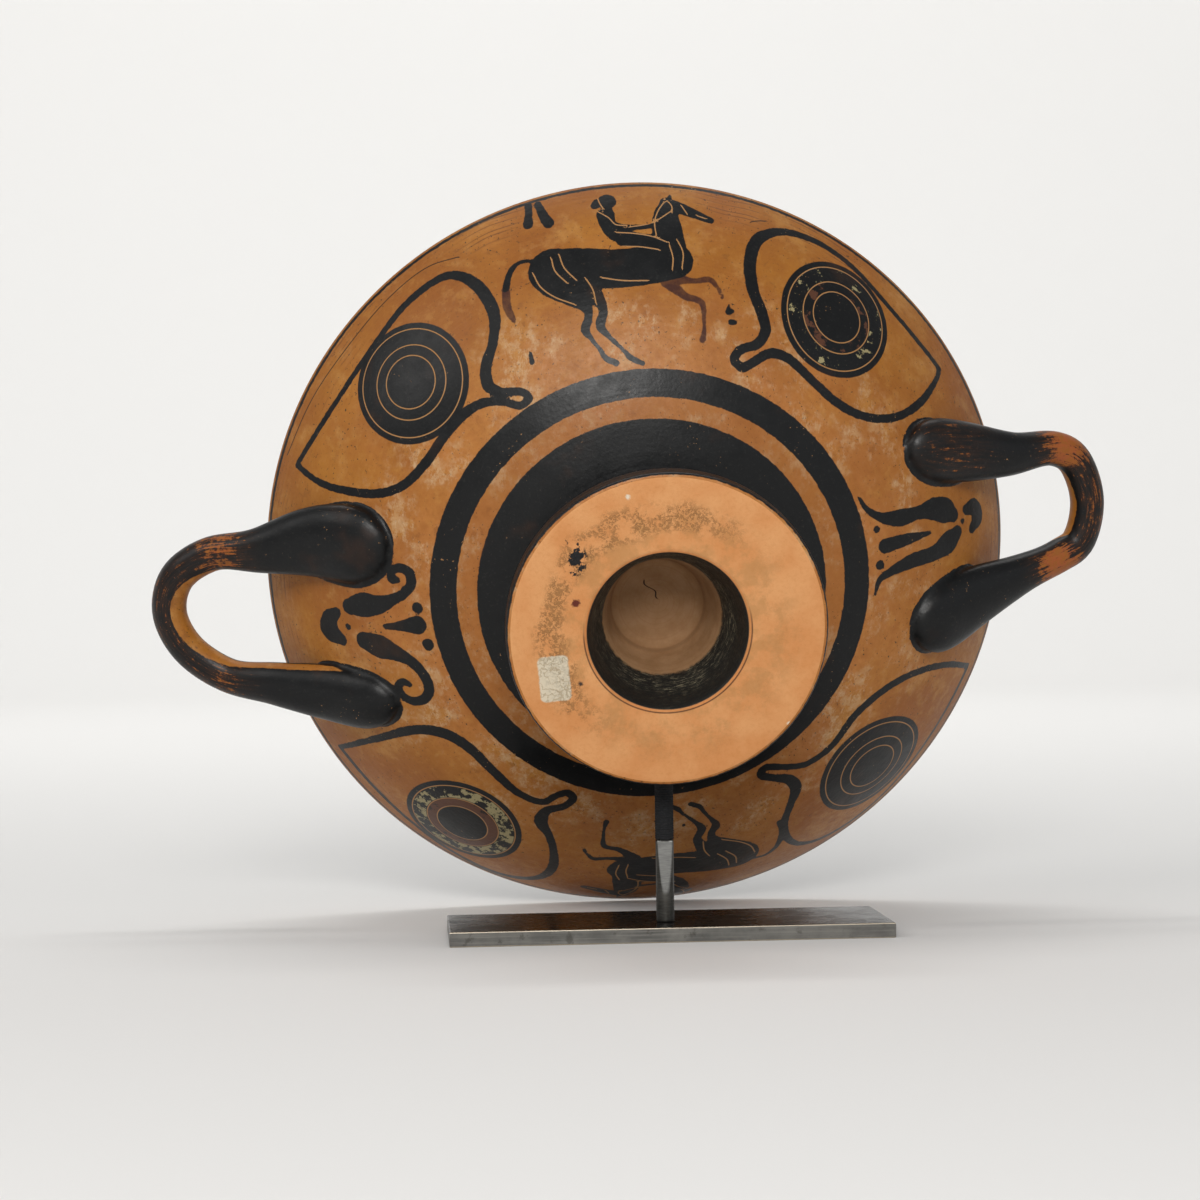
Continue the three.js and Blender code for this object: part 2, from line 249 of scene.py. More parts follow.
PAINT_FROM, PAINT_TO = 62.0, float(BOWL_ARC[-1]) - 1.9  # the painted rings' chart radii
PAINT_STEP = 1.1


def cup_profile():
    """The cup's section from the middle of its floor over the lip and down to the top of the
    hollow under the foot, as stretches of (radius, height) points. True marks the painted one."""
    t = np.linspace(1, LIP_ROUND / BOWL_DEPTH, 27)[1:]
    place, slope = bowl_point(t)
    wall = WALL_AT_RIM + (WALL_AT_FLOOR - WALL_AT_RIM) * t * t
    inside = place + np.stack([slope[:, 1], -slope[:, 0]], 1) * wall[:, None]
    rings = np.arange(PAINT_TO, PAINT_FROM, -PAINT_STEP)
    painted = np.stack([np.interp(rings, BOWL_ARC, column) for column in BOWL_TABLE.T], 1)
    lip_over = (inside[-1] + (0.35, 1.15), painted[0] + (0.45, 1.15))
    lip = bezier(inside[-1], *lip_over, painted[0], 9)[1:-1]
    t_stem = np.interp(STEM_START, BOWL_TABLE[:, 0], BOWL_T)
    start, slope = bowl_point(np.array([t_stem]))
    waist = (STEM_RADIUS, STEM_WAIST)
    last_t = np.interp(painted[-1, 0], BOWL_TABLE[:, 0], BOWL_T)
    crown = bowl_point(np.linspace(last_t, t_stem, 6)[1:])[0]
    stem = bezier(start[0], start[0] + slope[0] * 15, (STEM_RADIUS, STEM_WAIST + 13), waist, 12)[1:]
    top = (FOOT_RADIUS - 4, FOOT_EDGE + 1.3)
    flare = bezier(waist, (STEM_RADIUS, STEM_WAIST - 13), (FOOT_RADIUS - 23, FOOT_EDGE + 4), top, 14)[1:]
    radius = FOOT_RADIUS - 0.02
    edge = smooth_curve([top, (radius - 1, FOOT_EDGE + 0.3), (radius, FOOT_EDGE - 1.2), (radius, 5),
                         (radius, 1.4), (radius - 0.45, 0.45), (radius - 1.5, 0.0)], 3)[1:]
    under = np.stack([np.linspace(radius - 3, HOLLOW_RADIUS + 1.2, 9), np.zeros(9)], 1)
    d = HOLLOW_DEPTH
    hollow = smooth_curve([(HOLLOW_RADIUS + 0.5, 0.06), (HOLLOW_RADIUS - 0.4, 1.2),
                           (HOLLOW_RADIUS - 2.6, 0.24 * d), (HOLLOW_RADIUS - 7, 0.48 * d),
                           (HOLLOW_RADIUS - 9.4, 0.7 * d), (HOLLOW_RADIUS - 11.2, 0.88 * d),
                           (HOLLOW_RADIUS - 13.5, 0.95 * d), (HOLLOW_RADIUS - 19, 0.985 * d),
                           (2.0, d)], 4)
    return [(np.concatenate([inside, lip]), False), (painted, True),
            (np.concatenate([crown, stem, flare, edge, under, hollow]), False)]


COARSE_STEPS = 240
FINE_SECTORS = (90.0, -88.0)  # where the riders are, in degrees on the chart
FINE_HALF = 19.5


def ring_angles():
    """Chart angles of the plain rings, and of the painted ones, whose steps are a quarter of the
    plain step where the riders are and half of it elsewhere, with the plain step of each."""
    step = 360 / COARSE_STEPS
    plain = np.arange(COARSE_STEPS) * step
    fine, owner = [], []
    for i, angle in enumerate(plain):
        middle = angle + step / 2
        near = min(abs((middle - sector + 180) % 360 - 180) for sector in FINE_SECTORS)
        parts = 4 if near < FINE_HALF else 2
        fine.append(angle + step * np.arange(parts) / parts)
        owner.append(np.full(parts, i))
    return np.radians(plain), np.radians(np.concatenate(fine)), np.concatenate(owner)


def turned_cup():
    """The section carried round the axis: each of its points becomes a ring at the plain or at
    the painted angles, rings alike are joined by quads, unlike ones by triangles in step."""
    plain, fine, owner = ring_angles()
    rings, quads, triangles = [], [], []
    count = 0
    before = None
    for points, painted in cup_profile():
        angles = fine if painted else plain
        for radius, height in points:
            ring = np.stack([radius * np.cos(angles), -radius * np.sin(angles),
                             np.full(len(angles), height)], 1)
            here = np.arange(count, count + len(angles))
            count += len(angles)
            rings.append(ring)
            if before is not None and len(before) == len(here):
                quads.append(np.stack([before, np.roll(before, -1), np.roll(here, -1), here], 1))
            elif before is not None:
                triangles += stitched(before, here, owner)
            before = here
    poles = np.array([[0, 0, float(cup_profile()[0][0][0][1])], [0, 0, HOLLOW_DEPTH]])
    first, last = np.arange(len(plain)), before
    triangles.append(np.stack([np.roll(first, -1), np.full(len(first), count), first], 1)[:, ::-1])
    triangles.append(np.stack([last, np.roll(last, -1), np.full(len(last), count + 1)], 1))
    vertices = np.concatenate([*rings, poles])
    return turned_out(vertices, np.concatenate(quads), np.concatenate(triangles), "cup")


def stitched(before, here, owner):
    """Triangles between a plain ring and a painted one, the same way round as the quads."""
    fine, plain = (before, here) if len(before) > len(here) else (here, before)
    after = np.roll(fine, -1)
    fans = np.stack([fine, after, plain[owner]], 1)
    ends = after[np.flatnonzero(owner != np.roll(owner, -1))]
    steps = np.stack([plain, ends, np.roll(plain, -1)], 1)
    if fine is before:
        return [fans, steps]
    return [fans[:, ::-1], steps[:, ::-1]]


def handle_path(handle):
    """The middle line of a handle: up one arm from its root on the bowl, round the tip and back
    down the other arm. The first three places of an arm follow the bowl's outside."""
    arms = []
    for arm in handle["arms"]:
        out = np.array([arm["root"], *ARM_STATIONS, handle["reach"] - CORNER_SETBACK], float)
        aside = np.array(arm["spread"], float)
        near = len(ARM_STANDOFFS)
        height = np.empty(len(out))
        radius = np.minimum(np.hypot(out, aside)[:near], RIM_RADIUS)
        height[:near] = bowl_height(radius) - ARM_STANDOFFS
        height[near:] = (*ARM_HEIGHTS, TIP_HEIGHT - 0.8)
        arms.append(np.stack([handle["side"] * out, aside, height], 1))
    tip = np.array([[handle["side"] * handle["reach"], handle["tip"], TIP_HEIGHT]])
    return evenly(smooth_curve(np.concatenate([arms[0], tip, arms[1][::-1]]), 24), 110)


def handle_sizes(handle, share):
    """Half width and half thickness along a handle: slim in the loop, swelling to a flat rounded
    lobe at each root."""
    out = np.abs(2 * share - 1)
    swell = smoothstep(0.3, 0.84, out)
    rounded = np.sqrt(np.maximum(1 - (np.maximum(out - 0.84, 0) / 0.165) ** 2, 0.02))
    roots = np.where(share < 0.5, handle["arms"][0]["half_width"], handle["arms"][1]["half_width"])
    wide = (GRIP_HALF_WIDTH + (roots - GRIP_HALF_WIDTH) * swell) * rounded
    thick = (GRIP_HALF_THICKNESS + (ROOT_HALF_THICKNESS - GRIP_HALF_THICKNESS) * swell) * rounded
    return wide - SLACK, thick - SLACK


def handle_up(handle):
    up = np.array([-0.5 * handle["side"], 0, 1.0])
    return up / np.linalg.norm(up)


ROOT_SUNK = 2.0  # how deep a root's hidden side lies in the bowl's wall


def handle_loft(handle):
    path = handle_path(handle)
    wide, thick = handle_sizes(handle, np.linspace(0, 1, len(path)))
    loft = lofted(path, handle_up(handle), wide, thick, 36, "handle")
    places = vertices_of(loft.data)
    radius = np.hypot(places[:, 0], places[:, 1])
    deepest = np.where(radius < RIM_RADIUS - 1.5, bowl_height(radius) + ROOT_SUNK, np.inf)
    places[:, 2] = np.minimum(places[:, 2], deepest)
    loft.data.vertices.foreach_set("co", places.ravel())
    return loft


def eased_roots(places, edges, reach=3.0, rounds=11):
    """Softens the crease where a root meets the bowl: places near both surfaces move, round by
    round, towards the mean of their neighbours."""
    radius = np.hypot(places[:, 0], places[:, 1])
    below = bowl_height(np.minimum(radius, RIM_RADIUS)) - places[:, 2]
    on_bowl = (radius < RIM_RADIUS - 2) & (np.abs(below) < 0.05)
    off_bowl = (radius < RIM_RADIUS - 2) & (below > 0.05) & (places[:, 2] > 45)
    crease = np.zeros(len(places), bool)
    both = on_bowl[edges[:, 0]] & off_bowl[edges[:, 1]] | on_bowl[edges[:, 1]] & off_bowl[edges[:, 0]]
    crease[edges[both].ravel()] = True
    seeds = places[crease]
    near = np.flatnonzero((on_bowl | off_bowl) & (radius > 85))
    gap = np.full(len(near), np.inf)
    for part in np.array_split(seeds, max(len(seeds) // 150, 1)):
        gap = np.minimum(gap, np.linalg.norm(places[near, None] - part[None], axis=2).min(1))
    share = np.zeros(len(places))
    share[near] = 0.6 * (1 - smoothstep(0.4 * reach, reach, gap))
    count = np.maximum(np.bincount(edges.ravel(), minlength=len(places)), 1)[:, None]
    for _ in range(rounds):
        total = np.zeros_like(places)
        np.add.at(total, edges[:, 0], places[edges[:, 1]])
        np.add.at(total, edges[:, 1], places[edges[:, 0]])
        places = places + share[:, None] * (total / count - places)
    return places


# =============================== the cup's painting ===============================
# A stroke is a list of (x, y, half width) on the chart: a brush drawn through those places.

# One generic horseman serves both sides. Its places are measured from the middle of the barrel.
BARREL = (0.0, 128.0)
HORSEMAN = (
    ((-25, 2, 10.4), (-12, 1.6, 9.2), (0, 0, 8.6), (12, 0, 8.6), (24, 1, 8.2)),
    ((-24, -2, 8.6), (-18, -9, 5.6), (-14, -14, 3.0)),
    ((23, 5, 7.4), (24, 14, 6.6), (25, 22, 5.6), (27, 28, 4.0)),
    ((27, 29, 3.6), (34, 25, 3.0), (40, 21, 2.2), (44, 18.6, 1.7)),
    ((28, 31, 1.4), (29.4, 34, 0.6)),
    ((1, 33.4, 4.1), (1, 33.5, 4.1)),
    ((-3.2, 33, 2.4), (-4.6, 31.6, 1.8)),
    ((1, 30, 1.9), (0.6, 26, 2.4)),
    ((-0.6, 26, 4.0), (0, 20, 3.4), (3, 15.4, 3.6), (9, 13, 3.2)),
    ((5, 13, 3.4), (13, 11.4, 3.4), (20, 9, 3.0), (21.6, 2, 2.1), (21, -4, 1.5), (24.4, -5.4, 1.0)),
    ((-1.4, 25.4, 2.6), (2, 20.4, 1.9), (8, 18.4, 1.5), (20, 18, 1.0)),
    ((-14, -13, 2.6), (-13, -19, 1.6), (-15, -24, 1.9), (-13, -28, 1.0), (-10, -33, 0.8),
     (-8.4, -36, 1.2), (-4.6, -38.4, 1.2)),
    ((-10, -10, 3.6), (-7, -17, 1.8), (-9, -23, 1.9), (-6, -28, 1.0), (-1, -34, 0.8), (1.2, -37, 1.2),
     (5.4, -39.6, 0.9)),
    ((-33, 8, 0.8), (-39, 8, 1.0), (-43, 4, 1.3), (-45, -3, 1.5)),
)
FORELEGS_AND_TAIL_END = (
    ((20, -8, 3.0), (26, -15, 1.5), (32, -18, 1.3), (32, -24, 0.8), (31, -30, 0.8), (30, -33, 1.3)),
    ((23, -7, 2.4), (31, -9, 1.1), (37, -9, 1.3), (40, -13, 0.8), (41, -17, 0.9)),
    ((-45, -3, 1.5), (-45, -11, 1.7), (-42.6, -17, 1.0)),
)
ORNAMENTS = (
    ((-122.4, 1.8, 2.7), (-116, 2.8, 3.6), (-109, 3.2, 3.0), (-102.6, 5.2, 2.0), (-97, 8, 1.8),
     (-93.4, 12, 1.8), (-93.8, 16.4, 1.8), (-97.6, 18.2, 1.6), (-101.4, 16.8, 1.5), (-101.6, 13.6, 1.5),
     (-99, 13.4, 1.2)),
    ((-117.5, -12.6, 2.9), (-111, -14.6, 3.6), (-104, -17, 2.7), (-98, -20.2, 2.0), (-93.4, -25.4, 1.9),
     (-91.6, -31, 1.9), (-93.4, -36, 1.8), (-98.4, -38.2, 1.7), (-103.6, -36.2, 1.7), (-105.2, -32, 1.6),
     (-102.4, -29.4, 1.4), (-99.8, -30.8, 1.1)),
    ((-129.4, -1, 1.8), (-133.6, -4.4, 3.0), (-134.6, -9.4, 3.5), (-129, -13.2, 2.2)),
    ((-107, -6, 1.1), (-101, -5.6, 1.7), (-93, -5, 2.9)),
    ((-124.6, -7, 1.3), (-124.5, -7.1, 1.3)), ((-92, 2, 1.9), (-92, 2.2, 1.9)),
    ((-89.5, -13, 2.0), (-89.4, -13.2, 2.0)), ((-114, -6.5, 0.8), (-113.9, -6.5, 0.8)),
    ((84.7, 26, 0.7), (88, 20.6, 1.1), (94, 16.4, 1.7), (103, 14.4, 2.7), (112, 14.6, 2.2),
     (121, 14.3, 3.4), (128.6, 11.6, 3.6), (132.4, 9, 2.4)),
    ((88.5, -14, 0.7), (91, -8.6, 1.2), (98, -6, 1.8), (108, -4.3, 2.5), (119, -4, 2.6),
     (128.6, -1.4, 3.5), (134, 1, 2.4)),
    ((94.6, 4.6, 2.4), (104, 5, 2.1), (118, 5.1, 0.8)),
    ((141, 9.4, 2.0), (147, 8.8, 3.0), (149.4, 4, 3.0), (144.4, 0.2, 2.0)),
    ((91.4, 12, 1.4), (91.4, 12.1, 1.4)), ((91.6, -2.6, 1.7), (91.6, -2.5, 1.7)),
    ((138, 5, 1.3), (138.1, 5, 1.3)),
    ((-33.4, 165.6, 1.5), (-33.6, 160, 1.5), (-34, 154.4, 1.9)),
    ((-29.2, 165.6, 1.4), (-27.4, 159, 1.8), (-25.2, 153.6, 2.1)),
    ((43, 107.2, 0.8), (42.8, 106.6, 0.8)), ((42.4, 104.9, 1.3), (43.6, 104.8, 1.1)),
    ((42.4, 100.5, 1.1), (43.9, 100.4, 1.1)),
    ((-37.4, 97, 0.8), (-36.9, 93.6, 1.0)), ((4.4, -104.4, 0.8), (4.5, -104.5, 0.8)),
)
EYES = (
    {"middle": (-87.3, 91.4), "iris": 25.0, "lid": (
        (-146.5, 61, 1.1), (-121, 90, 1.1), (-104, 110, 1.2), (-88, 127, 1.4), (-70, 135.6, 1.6),
        (-58, 129.4, 2.0), (-50.6, 115, 2.0), (-51.6, 104, 1.6), (-55.4, 93, 1.8), (-54.6, 86, 1.9),
        (-50, 83.4, 1.5), (-42, 82.6, 1.3), (-39.6, 80.2, 1.4), (-42.6, 77.6, 1.3), (-50, 79.6, 1.3),
        (-58, 79.8, 1.5), (-66, 76, 1.7), (-74, 68.6, 1.6), (-83, 58.4, 1.6), (-93, 50.6, 1.5),
        (-104, 48, 1.5), (-119, 49.6, 1.4), (-133, 53.4, 1.2), (-146.5, 61, 1.1))},
    {"middle": (89.5, 98.5), "iris": 25.5, "lid": (
        (140.5, 71, 1.1), (121, 99, 1.1), (104, 124, 1.2), (90, 135, 1.4), (75, 139.6, 1.6),
        (63, 136, 2.1), (56.4, 126, 2.1), (54.4, 113, 2.0), (56, 103, 1.9), (56, 96, 1.8),
        (52, 91, 1.6), (43.6, 89, 1.5), (41.2, 85.6, 1.5), (44, 82.4, 1.5), (50, 84.6, 1.5),
        (56.4, 86.6, 1.6), (63, 84, 1.6), (71, 75, 1.5), (82, 63, 1.5), (94, 56.4, 1.4),
        (108, 54.6, 1.4), (122, 58.4, 1.5), (134, 65.6, 1.2), (140.5, 71, 1.1))},
    {"middle": (-89.7, -103.3), "iris": 26.5, "lid": (
        (-145.5, -72, 1.1), (-122, -60, 1.4), (-99.7, -51.6, 1.8), (-88, -52.6, 2.0), (-79, -58.6, 1.9),
        (-70, -70.6, 1.7), (-61, -81.6, 1.5), (-52, -86, 1.4), (-45.6, -82.4, 1.3), (-41, -81.4, 1.4),
        (-39.4, -84.6, 1.4), (-43.4, -88.4, 1.4), (-51, -91, 1.7), (-54, -97, 2.2), (-51.6, -106, 1.5),
        (-51, -118, 1.5), (-53, -130, 1.8), (-59.6, -141, 1.7), (-71, -146.6, 1.6), (-84, -144.6, 1.4),
        (-100, -132.6, 1.2), (-118, -112, 1.1), (-134, -90, 1.1), (-145.5, -72, 1.1))},
    {"middle": (90.2, -98.5), "iris": 26.5, "lid": (
        (147, -69, 1.1), (128, -59, 1.3), (109, -55, 1.4), (93, -57.4, 1.5), (79, -65, 1.5),
        (67, -78.6, 1.4), (56, -83.6, 1.3), (46, -82, 1.3), (38.6, -80.6, 1.4), (37, -83.6, 1.5),
        (42, -86.6, 1.5), (49, -89.4, 1.9), (52.4, -95, 2.1), (50.6, -105, 1.5), (48.6, -115, 1.5),
        (50.6, -127, 1.5), (57.6, -138, 1.4), (69, -143.6, 1.3), (84, -141.6, 1.2), (102, -130.6, 1.1),
        (120, -110, 1.0), (135, -88, 1.0), (147, -69, 1.1))},
)
RIM_RING = (170.9, 169.3)  # the chart radii of the painted rings' two edges
OUTER_BAND = (86.5, 75.6)
STEM_BAND = 67.6
IRIS_RINGS = (0.893, 0.616, 0.437)
WORN_EYES = (1, 2)
GUIDES = (
    ((-65, 144), (-80, 142), (-98, 131), (-120, 110), (-138, 90), (-153, 66)),
    ((62, 145), (66, 145.6), (70, 145.2)),
)
HORSEMAN_CUTS = (
    ((-33.4, 2), (-31, -4), (-26, -9), (-18, -13.4)),
    ((-25.4, 8), (-24.4, 2), (-20, -4)),
    ((-22, 9), (-20.6, 3), (-16.4, -3)),
    ((-12.4, -3), (-10.2, -8), (-9.6, -14)),
    ((-6, -3.4), (2, -5.6), (12, -6.8)),
    ((19, 13), (19.6, 20), (22.4, 26), (26, 30.4)),
    ((26.6, 32), (28.6, 28), (28, 24)),
    ((33, 27.6), (34.4, 23)),
    ((38.6, 21.6), (42, 19.8)),
    ((28.6, 25.4), (18, 19.6), (8, 18.6)),
    ((-2.8, 36.8), (-2.2, 33), (-1, 29.6)),
    ((-3.6, 28.4), (0.6, 24.4), (3, 20.6), (8, 19.4)),
    ((2.6, 16.6), (10, 15.2), (17, 13), (23.2, 9.4)),
    ((4, 9.6), (12, 8.4), (19, 6.4)),
    ((23.6, 8), (24, 2), (22.8, -3)),
    ((27.4, 10), (28.6, 4), (26.8, -3)),
)


def beside_barrel(strokes):
    """The same strokes or cuts on the chart, set off from the middle of the horse's barrel."""
    return tuple(tuple((x + BARREL[0], y + BARREL[1], *half) for x, y, *half in stroke)
                 for stroke in strokes)


def round_about(strokes, dx=3.0, dy=-3.2):
    """The same strokes turned half a turn about the cup's axis, then moved a little."""
    return tuple(tuple((dx - x, dy - y, *rest) for x, y, *rest in stroke) for stroke in strokes)


def from_stroke(places, stroke):
    """Distance of each place from a chain of points, which side of it the place is on, and the
    chain's other values there. The nearest of the chain's straight steps decides."""
    start, step = stroke[:-1], np.diff(stroke, axis=0)
    length = np.maximum((step[:, :2] ** 2).sum(1), 1e-9)
    away = places[:, None] - start[None, :, :2]
    share = np.clip((away * step[:, :2]).sum(2) / length, 0, 1)
    away -= share[..., None] * step[:, :2]
    distance = np.hypot(away[..., 0], away[..., 1])
    nearest = distance.argmin(1)
    rows = np.arange(len(places))
    turn = step[nearest, 0] * away[rows, nearest, 1] - step[nearest, 1] * away[rows, nearest, 0]
    values = start[nearest] + share[rows, nearest, None] * step[nearest]
    return distance[rows, nearest], np.where(turn < 0, -1.0, 1.0), values


FAR = 6.0  # fields stop growing this far from a stroke
WELL_OFF = 4.0  # an eye's field stops growing at this many iris radii


def within(chart, points, reach):
    low, high = points[:, :2].min(0) - reach, points[:, :2].max(0) + reach
    return np.flatnonzero(((chart > low) & (chart < high)).all(1))


def fuller(strokes, least, more):
    """The same strokes with a wider brush, the more so where they are wide already."""
    return tuple(tuple((x, y, half * (least + more * half)) for x, y, half in stroke)
                 for stroke in strokes)


def brushed(chart, strokes):
    """How far outside the nearest brush stroke each chart place is; negative inside one."""
    field = np.full(len(chart), FAR)
    for stroke in strokes:
        curve = smooth_curve(stroke, 6) if len(stroke) > 2 else np.array(stroke, float)
        near = within(chart, curve, FAR + curve[:, 2].max())
        distance, _, values = from_stroke(chart[near], curve)
        field[near] = np.minimum(field[near], distance - values[:, 2])
    return field


def ruled(chart, groups):
    """For fine lines: signed distance to the nearest line, the plain distance, and the line's
    tone. The plain distance hides the change of sign half way between two lines."""
    field = np.tile([FAR, FAR, 0.0], (len(chart), 1))
    for lines, tone in groups:
        for line in lines:
            curve = smooth_curve(line, 6)
            near = within(chart, curve, FAR)
            distance, side, _ = from_stroke(chart[near], curve)
            closer = distance < field[near, 1]
            chosen = near[closer]
            field[chosen] = np.stack([side * distance, distance, np.full(len(side), tone)], 1)[closer]
    return field


def eye_places(chart):
    """Distance from the middle of the nearest eye over its iris radius, then how far the place is
    inside the two worn irises, upper right and lower left, as 1 in the middle and 0 well outside."""
    away = [np.linalg.norm(chart - eye["middle"], axis=1) / eye["iris"] for eye in EYES]
    worn = [np.clip(2 - away[which], 0, 2) for which in WORN_EYES]
    return np.stack([np.minimum(np.min(away, axis=0), WELL_OFF), *worn], 1)


# =============================== fields over the cup ===============================

def section_line():
    """The whole section with the distance run along it, and where its stretches begin."""
    inside, painted, rest = (points for points, _ in cup_profile())
    points = np.concatenate([[[0, inside[0, 1]]], inside, painted, rest, [[0, HOLLOW_DEPTH]]])
    run = run_along(points)
    flat = np.flatnonzero(points[:, 1] < 0.01)
    mouth = np.flatnonzero((points[:, 1] > 0.01) & (np.arange(len(points)) > flat[-1]))[0]
    marks = {
        "lip": run[len(inside) - 7],
        "painted": run[1 + len(inside)],
        "crown": run[len(inside) + len(painted)],
        "under": run[flat[0]],
        "mouth": run[mouth],
        "end": run[-1],
    }
    waist = 1 + len(inside) + len(painted) + np.argmin(rest[:40, 0])
    marks["waist"] = run[waist]
    return np.concatenate([points, run[:, None]], 1), marks


SECTION, MARKS = section_line()


def run_of(arc):
    """Where along the section the bowl's outside has this chart radius, and the other way."""
    return MARKS["painted"] + PAINT_TO - arc


def on_section(places):
    """Distance off the section and the run along it, for each place of the cup."""
    flat = np.stack([np.hypot(places[:, 0], places[:, 1]), places[:, 2]], 1)
    found = [from_stroke(part, SECTION) for part in np.array_split(flat, len(flat) // 4000 + 1)]
    return np.concatenate([f[0] for f in found]), np.concatenate([f[2][:, 2] for f in found])


RUBBED = {-1: ((0.33, 0.06, 0.60), (0.5, 0.2, 0.30), (0.66, 0.07, 0.40)),
          1: ((0.36, 0.052, 1.0), (0.65, 0.055, 1.0), (0.5, 0.12, 0.44), (0.1, 0.1, 0.32))}
STRIP_MIDDLE = {-1: -0.2, 1: 0.3}  # the bare strip on a handle's inner face, in radians round it
STRIPS = {-1: ((0.24, 0.36, 0.48, 0.58, 0.68, 0.86, 0.98), (-0.5, 0.35, 0.78, 0.60, 0.28, 0.13, -0.3)),
          1: ((0.28, 0.38, 0.5, 0.6, 0.68), (-0.5, 0.35, 0.5, 0.42, -0.5))}


def off_handle(places, handle):
    """How far each place is from the handle's surface, up to FAR."""
    loft = handle_loft(handle)
    tree = BVHTree.FromPolygons([vertex.co for vertex in loft.data.vertices],
                                [polygon.vertices for polygon in loft.data.polygons])
    bpy.data.objects.remove(loft)
    found = (tree.find_nearest(Vector(place), FAR)[3] for place in places)
    return np.array([FAR if distance is None else distance for distance in found])


def round_handle(places, handle):
    """For places near a handle: the share of its length along it, angle round it from the side
    that faces the loop, how far outside its bare strip, and how rubbed it is."""
    path = handle_path(handle)
    run = np.linspace(0, np.linalg.norm(np.diff(path, axis=0), axis=1).sum(), len(path))
    along = np.gradient(path, axis=0)
    along /= np.linalg.norm(along, axis=1, keepdims=True)
    across = np.cross(along, handle_up(handle))
    across /= np.linalg.norm(across, axis=1, keepdims=True)
    over = np.cross(across, along)
    inward = -handle["side"] * across
    share = np.linspace(0, 1, len(path))
    wide = handle_sizes(handle, share)[0]
    nearest = np.concatenate([np.linalg.norm(part[:, None] - path, axis=2).argmin(1)
                              for part in np.array_split(places, len(places) // 4000 + 1)])
    away = places - path[nearest]
    ahead, side, rise = (np.einsum("ij,ij->i", away, axes[nearest]) for axes in (along, inward, over))
    angle = np.arctan2(rise, side)
    at = share[nearest] + ahead / run[-1]
    strip = np.abs(angle - STRIP_MIDDLE[handle["side"]]) - np.interp(at, *STRIPS[handle["side"]])
    strip = strip * np.maximum(wide[nearest], 5)
    rub = np.zeros(len(places))
    for middle, spread, most in RUBBED[handle["side"]]:
        rub = np.maximum(rub, most * np.exp(-((at - middle) / spread) ** 2))
    facing = smoothstep(-0.5, 0.2, -np.cos(angle - 0.9))
    return at, angle, strip, rub * facing


HANDLE_LENGTH = 290.0  # about, along its middle line
SLIP_PAST_ROOT = 0.7  # how far a handle's slip spreads on to the bowl
PLAIN = (92, 165)  # chart radii between which no ring is painted


def cup_fields(places):
    """Everything that the cup's materials read, worked out for each vertex."""
    off, run = on_section(places)
    theta = np.arctan2(-places[:, 1], places[:, 0])
    arc = run_of(run)
    chart = np.clip(arc, 0, None)[:, None] * np.stack([np.cos(theta), np.sin(theta)], 1)
    outside = (run > MARKS["painted"] - 3) & (run < MARKS["crown"] + 4)
    drawn = chart[outside]
    horseman, forelegs = beside_barrel(HORSEMAN), beside_barrel(FORELEGS_AND_TAIL_END)
    strokes = (*horseman, *round_about(horseman), *round_about(forelegs),
               *fuller(ORNAMENTS, 0.92, 0.15), *fuller([eye["lid"] for eye in EYES], 1.1, 0.1))
    paint = np.full(len(places), FAR)
    paint[outside] = brushed(drawn, strokes)
    thin = np.full(len(places), FAR)
    thin[outside] = brushed(drawn, forelegs)
    line = np.tile([FAR, FAR, 0.0], (len(places), 1))
    incised = beside_barrel(HORSEMAN_CUTS)
    cuts = (*incised, *round_about(incised))
    line[outside] = ruled(drawn, ((cuts, 0.0), (GUIDES, 1.0)))
    eye = np.tile([WELL_OFF, 0.0, 0.0], (len(places), 1))
    eye[outside] = eye_places(drawn)
    grip = np.zeros((len(places), 3))
    for handle in HANDLES:
        near = np.flatnonzero((places[:, 0] * handle["side"] > 80) & (places[:, 2] > 45)
                              & (outside | (off > 0.5)))
        along, angle, strip, rub = round_handle(places[near], handle)
        slip = off_handle(places[near], handle) - SLIP_PAST_ROOT
        on_handle = off[near] > 0.3
        slip = np.where(on_handle, np.maximum(slip, -strip), slip)
        paint[near] = np.where(on_handle, slip, np.minimum(paint[near], slip))
        grip[near] = np.stack([along * HANDLE_LENGTH, angle * GRIP_HALF_WIDTH, rub * on_handle], 1)
        run[near] = np.where(on_handle, np.clip(run[near], run_of(PLAIN[1]), run_of(PLAIN[0])), run[near])
    return {"paint": paint, "thin": thin, "line": line, "eye": eye, "grip": grip, "run": run}


# ---- the map that the paint is kept on: one picture, an island to a zone ----
BOWL_ISLAND = (0.362, 0.362, 0.352)  # middle and radius
FOOT_ISLAND = (0.362, 0.362, 0.112)
INSIDE_ISLAND = (0.795, 0.795, 0.195)
STEM_ISLAND = (0.735, 0.012, 0.25, 0.545)  # corner and size
HANDLE_ISLANDS = ((0.012, 0.862, 0.5643, 0.122), (0.012, 0.73, 0.4356, 0.118))
OFF_BOWL = 1.0


def unrolled(angle, first):
    """Angles of a face's corners without the jump at half a turn: corners more than half a turn
    past the others are brought back to them. first is each corner's first corner."""
    return angle + 2 * np.pi * ((angle[first] - angle > np.pi).astype(float)
                                - (angle - angle[first] > np.pi))


